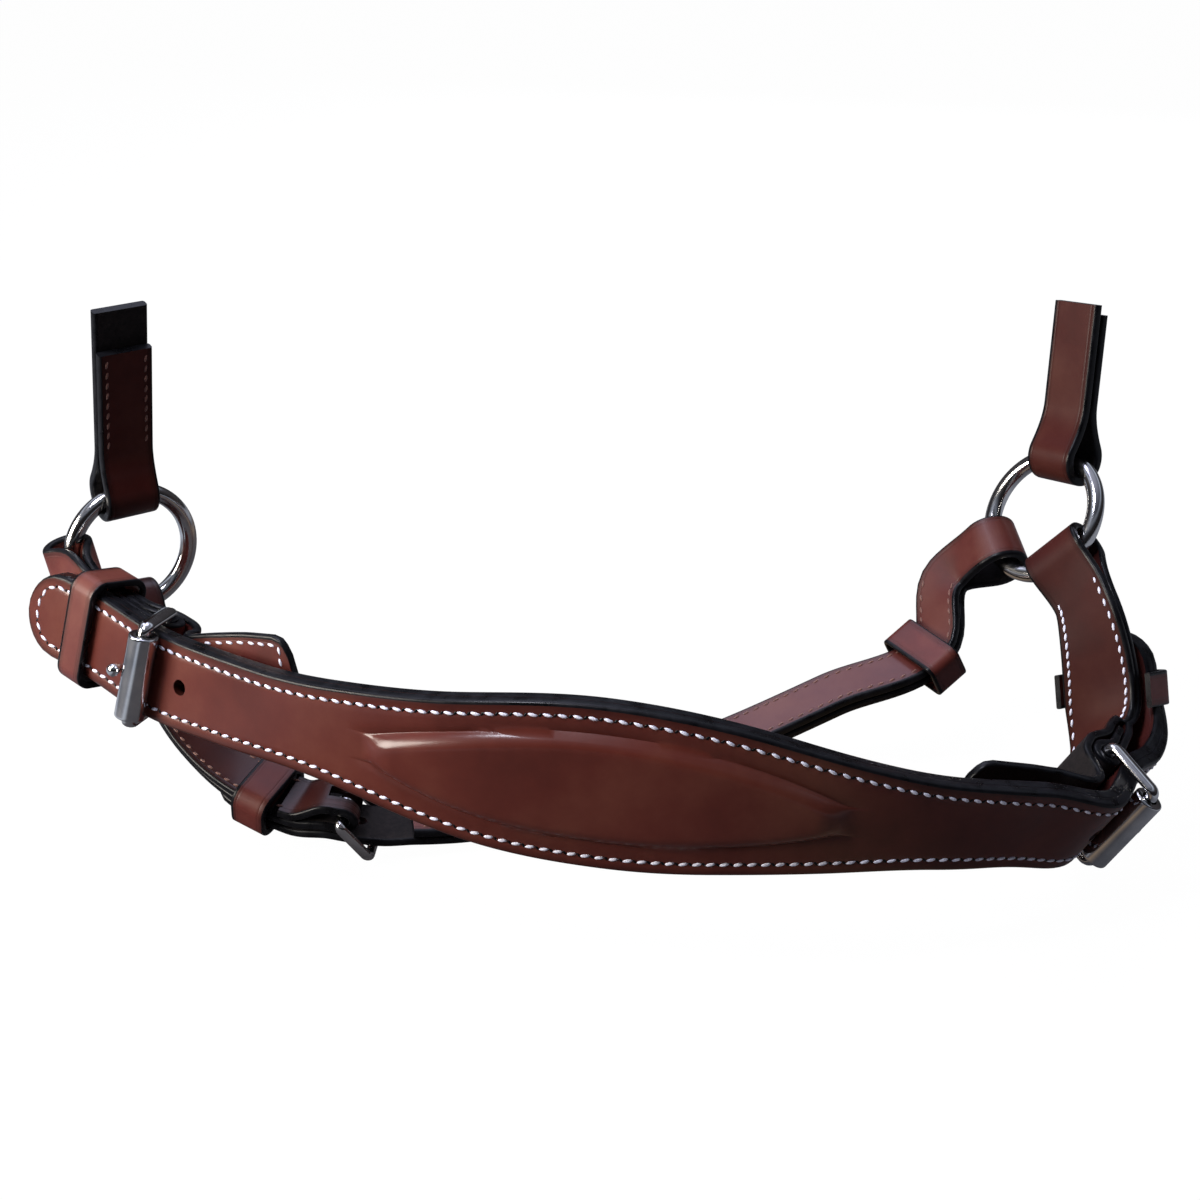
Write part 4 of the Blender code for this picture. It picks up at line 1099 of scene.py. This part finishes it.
# the chin buckle's frame leans from the heel bar to the front bar, which lies on the long strap
heelPlace, bar, prong = chinBuckle.at(0, heel), chinSteel["bar"], chinSteel["prong"]
rise = Vector((-9.5, over + layer / 2 + layGap + bar - heel))
place = leaning(chinBuckle, heelPlace, rise.x, rise.y)
makeFrame("chinBuckle", "chin_buckle_frame", "chin", place, rise.length, width + 0.6, chinSteel)
lean = math.atan2(rise.y, rise.x) - math.asin((bar + prong + layGap) / rise.length)
place = leaning(chinBuckle, heelPlace, math.cos(lean), math.sin(lean))
makeProng("chinProng", "chin_prong", place, chinSteel, bar + 0.25)
print("steel ready")


# Floor, light and camera

studio = {
    "lens": 1962 / 1200 * 36, "eye": (0.0, -0.43138, 0.25091), "pitch": 65.0, "floorDrop": 0.0005,
    "floorColour": (0.21, 0.21, 0.22, 1), "floorShare": 0.93, "floorGlow": 1.06, "floorShine": 0.85,
    # what the floor shows to glossy rays, across the picture
    "floorBands": [
        (0.06, (0.16, 0.17, 0.2)), (0.17, (0.62, 0.68, 0.8)), (0.25, (0.4, 0.44, 0.5)),
        (0.3, (0.05, 0.05, 0.06)), (0.55, (0.06, 0.05, 0.05)), (0.6, (0.3, 0.21, 0.13)),
        (0.66, (0.05, 0.05, 0.06)), (0.82, (0.3, 0.32, 0.37)),
    ],
    # the world's light, and what it shows to glossy rays, from below to above
    "skyStrength": 0.15, "shineDepth": ((-0.6, 0.5), (0.35, 1.3)),
    "sky": [
        (0.0, (0.16, 0.13, 0.12)), (0.42, (0.3, 0.27, 0.27)), (0.58, (0.55, 0.52, 0.56)),
        (1.0, (0.8, 0.8, 1.0)),
    ],
    "shine": [
        (0.0, (0.02, 0.02, 0.02)), (0.46, (0.05, 0.045, 0.05)), (0.55, (0.2, 0.23, 0.28)),
        (0.66, (0.6, 0.65, 0.78)), (0.76, (0.14, 0.15, 0.19)), (1.0, (0.4, 0.42, 0.52)),
    ],
    # each lamp's place, aim, size, power and colour
    "lamps": {
        "keyLight": ((-0.62, -0.12, 0.22), (-0.06, 0.03, 0), 0.3, 6.8, (1.0, 0.93, 0.84)),
        "topLight": ((-0.32, -0.14, 0.8), (-0.07, 0.02, 0), 0.22, 6.5, (0.87, 0.88, 1.0)),
        "skyLight": ((-0.2, 0.5, 0.86), (0.02, 0.08, 0), 0.6, 3.2, (0.74, 0.75, 1.0)),
        "backLight": ((0.2, 1.0, 0.4), (0, 0.08, 0), 0.7, 8.0, (0.92, 0.92, 1.0)),
        "rightLight": ((0.9, 0.5, 0.35), (0.1, 0.06, 0), 0.5, 3.6, (0.92, 0.94, 1.0)),
    },
    "unmirrored": ("backLight", "rightLight"),
}


def splitCoordinates(tree, kind):
    coordinates = addNode(tree, "ShaderNodeTexCoord")
    split = addNode(tree, "ShaderNodeSeparateXYZ")
    tree.links.new(coordinates.outputs[kind], split.inputs["Vector"])
    return split


def paleStage(name):
    # white to the camera but for the shadows, and bands of a room to the steel and the leather
    made, tree, shader = newMaterial(name)
    setSockets(shader, {"Base Color": studio["floorColour"], "Roughness": 0.9, "Specular IOR Level": 0.1})
    across = mathNode(tree, "MULTIPLY_ADD", splitCoordinates(tree, "Object").outputs["X"], 1.25)
    across.node.inputs[2].default_value = 0.5
    bands = addNode(tree, "ShaderNodeEmission", Strength=1.0)
    tree.links.new(colourRamp(tree, across, studio["floorBands"]), bands.inputs["Color"])
    pale = addNode(tree, "ShaderNodeEmission", Strength=studio["floorGlow"])
    rays = addNode(tree, "ShaderNodeLightPath").outputs
    share = mathNode(tree, "MULTIPLY", rays["Is Glossy Ray"], studio["floorShine"])
    seen = blendShaders(tree, share, shader.outputs["BSDF"], bands.outputs["Emission"])
    share = mathNode(tree, "MULTIPLY", rays["Is Camera Ray"], studio["floorShare"])
    seen = blendShaders(tree, share, seen, pale.outputs["Emission"])
    tree.links.new(seen, tree.nodes["Material Output"].inputs["Surface"])
    return made


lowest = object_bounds()[0][2]
down = Matrix.Translation((0, 0, lowest - studio["floorDrop"]))
bm = bmesh.new()
bmesh.ops.create_grid(bm, x_segments=1, y_segments=1, size=4.0, matrix=down)
floor = linkMesh("floor", bm)
floor.data.materials.append(paleStage("paleFloor"))

world = bpy.data.worlds.new("studio")
bpy.context.scene.world = world
world.use_nodes = True
tree = world.node_tree
split = splitCoordinates(tree, "Generated").outputs
sky = tree.nodes["Background"]
sky.inputs["Strength"].default_value = studio["skyStrength"]
tree.links.new(colourRamp(tree, split["Z"], studio["sky"]), sky.inputs["Color"])
shine = addNode(tree, "ShaderNodeBackground")
tree.links.new(colourRamp(tree, split["Z"], studio["shine"]), shine.inputs["Color"])
# brighter behind the object than behind the camera
tree.links.new(mapRange(tree, split["Y"], *studio["shineDepth"]), shine.inputs["Strength"])
white = addNode(tree, "ShaderNodeBackground", Color=(1, 1, 1, 1), Strength=1.0)
rays = addNode(tree, "ShaderNodeLightPath").outputs
glossy = blendShaders(tree, rays["Is Glossy Ray"], sky.outputs["Background"], shine.outputs["Background"])
seen = blendShaders(tree, rays["Is Camera Ray"], glossy, white.outputs["Background"])
tree.links.new(seen, tree.nodes["World Output"].inputs["Surface"])

for name, (place, aim, size, power, colour) in studio["lamps"].items():
    lamp = bpy.data.lights.new(name, "AREA")
    lamp.size, lamp.energy, lamp.color = size, power, colour
    holder = linkObject(name, lamp)
    holder.location = place
    holder.rotation_euler = (Vector(aim) - Vector(place)).to_track_quat("-Z", "Y").to_euler()
    # the two lamps behind light the leather but leave no streaks on it
    holder.visible_glossy = name not in studio["unmirrored"]

lens = bpy.data.cameras.new("camera")
lens.sensor_width, lens.lens = 36.0, studio["lens"]
lens.clip_start = 0.01
camera = linkObject("camera", lens)
camera.location = studio["eye"]
camera.rotation_euler = (math.radians(studio["pitch"]), 0, 0)
bpy.context.scene.camera = camera
bpy.context.scene.view_settings.view_transform = "Standard"
print("studio ready")
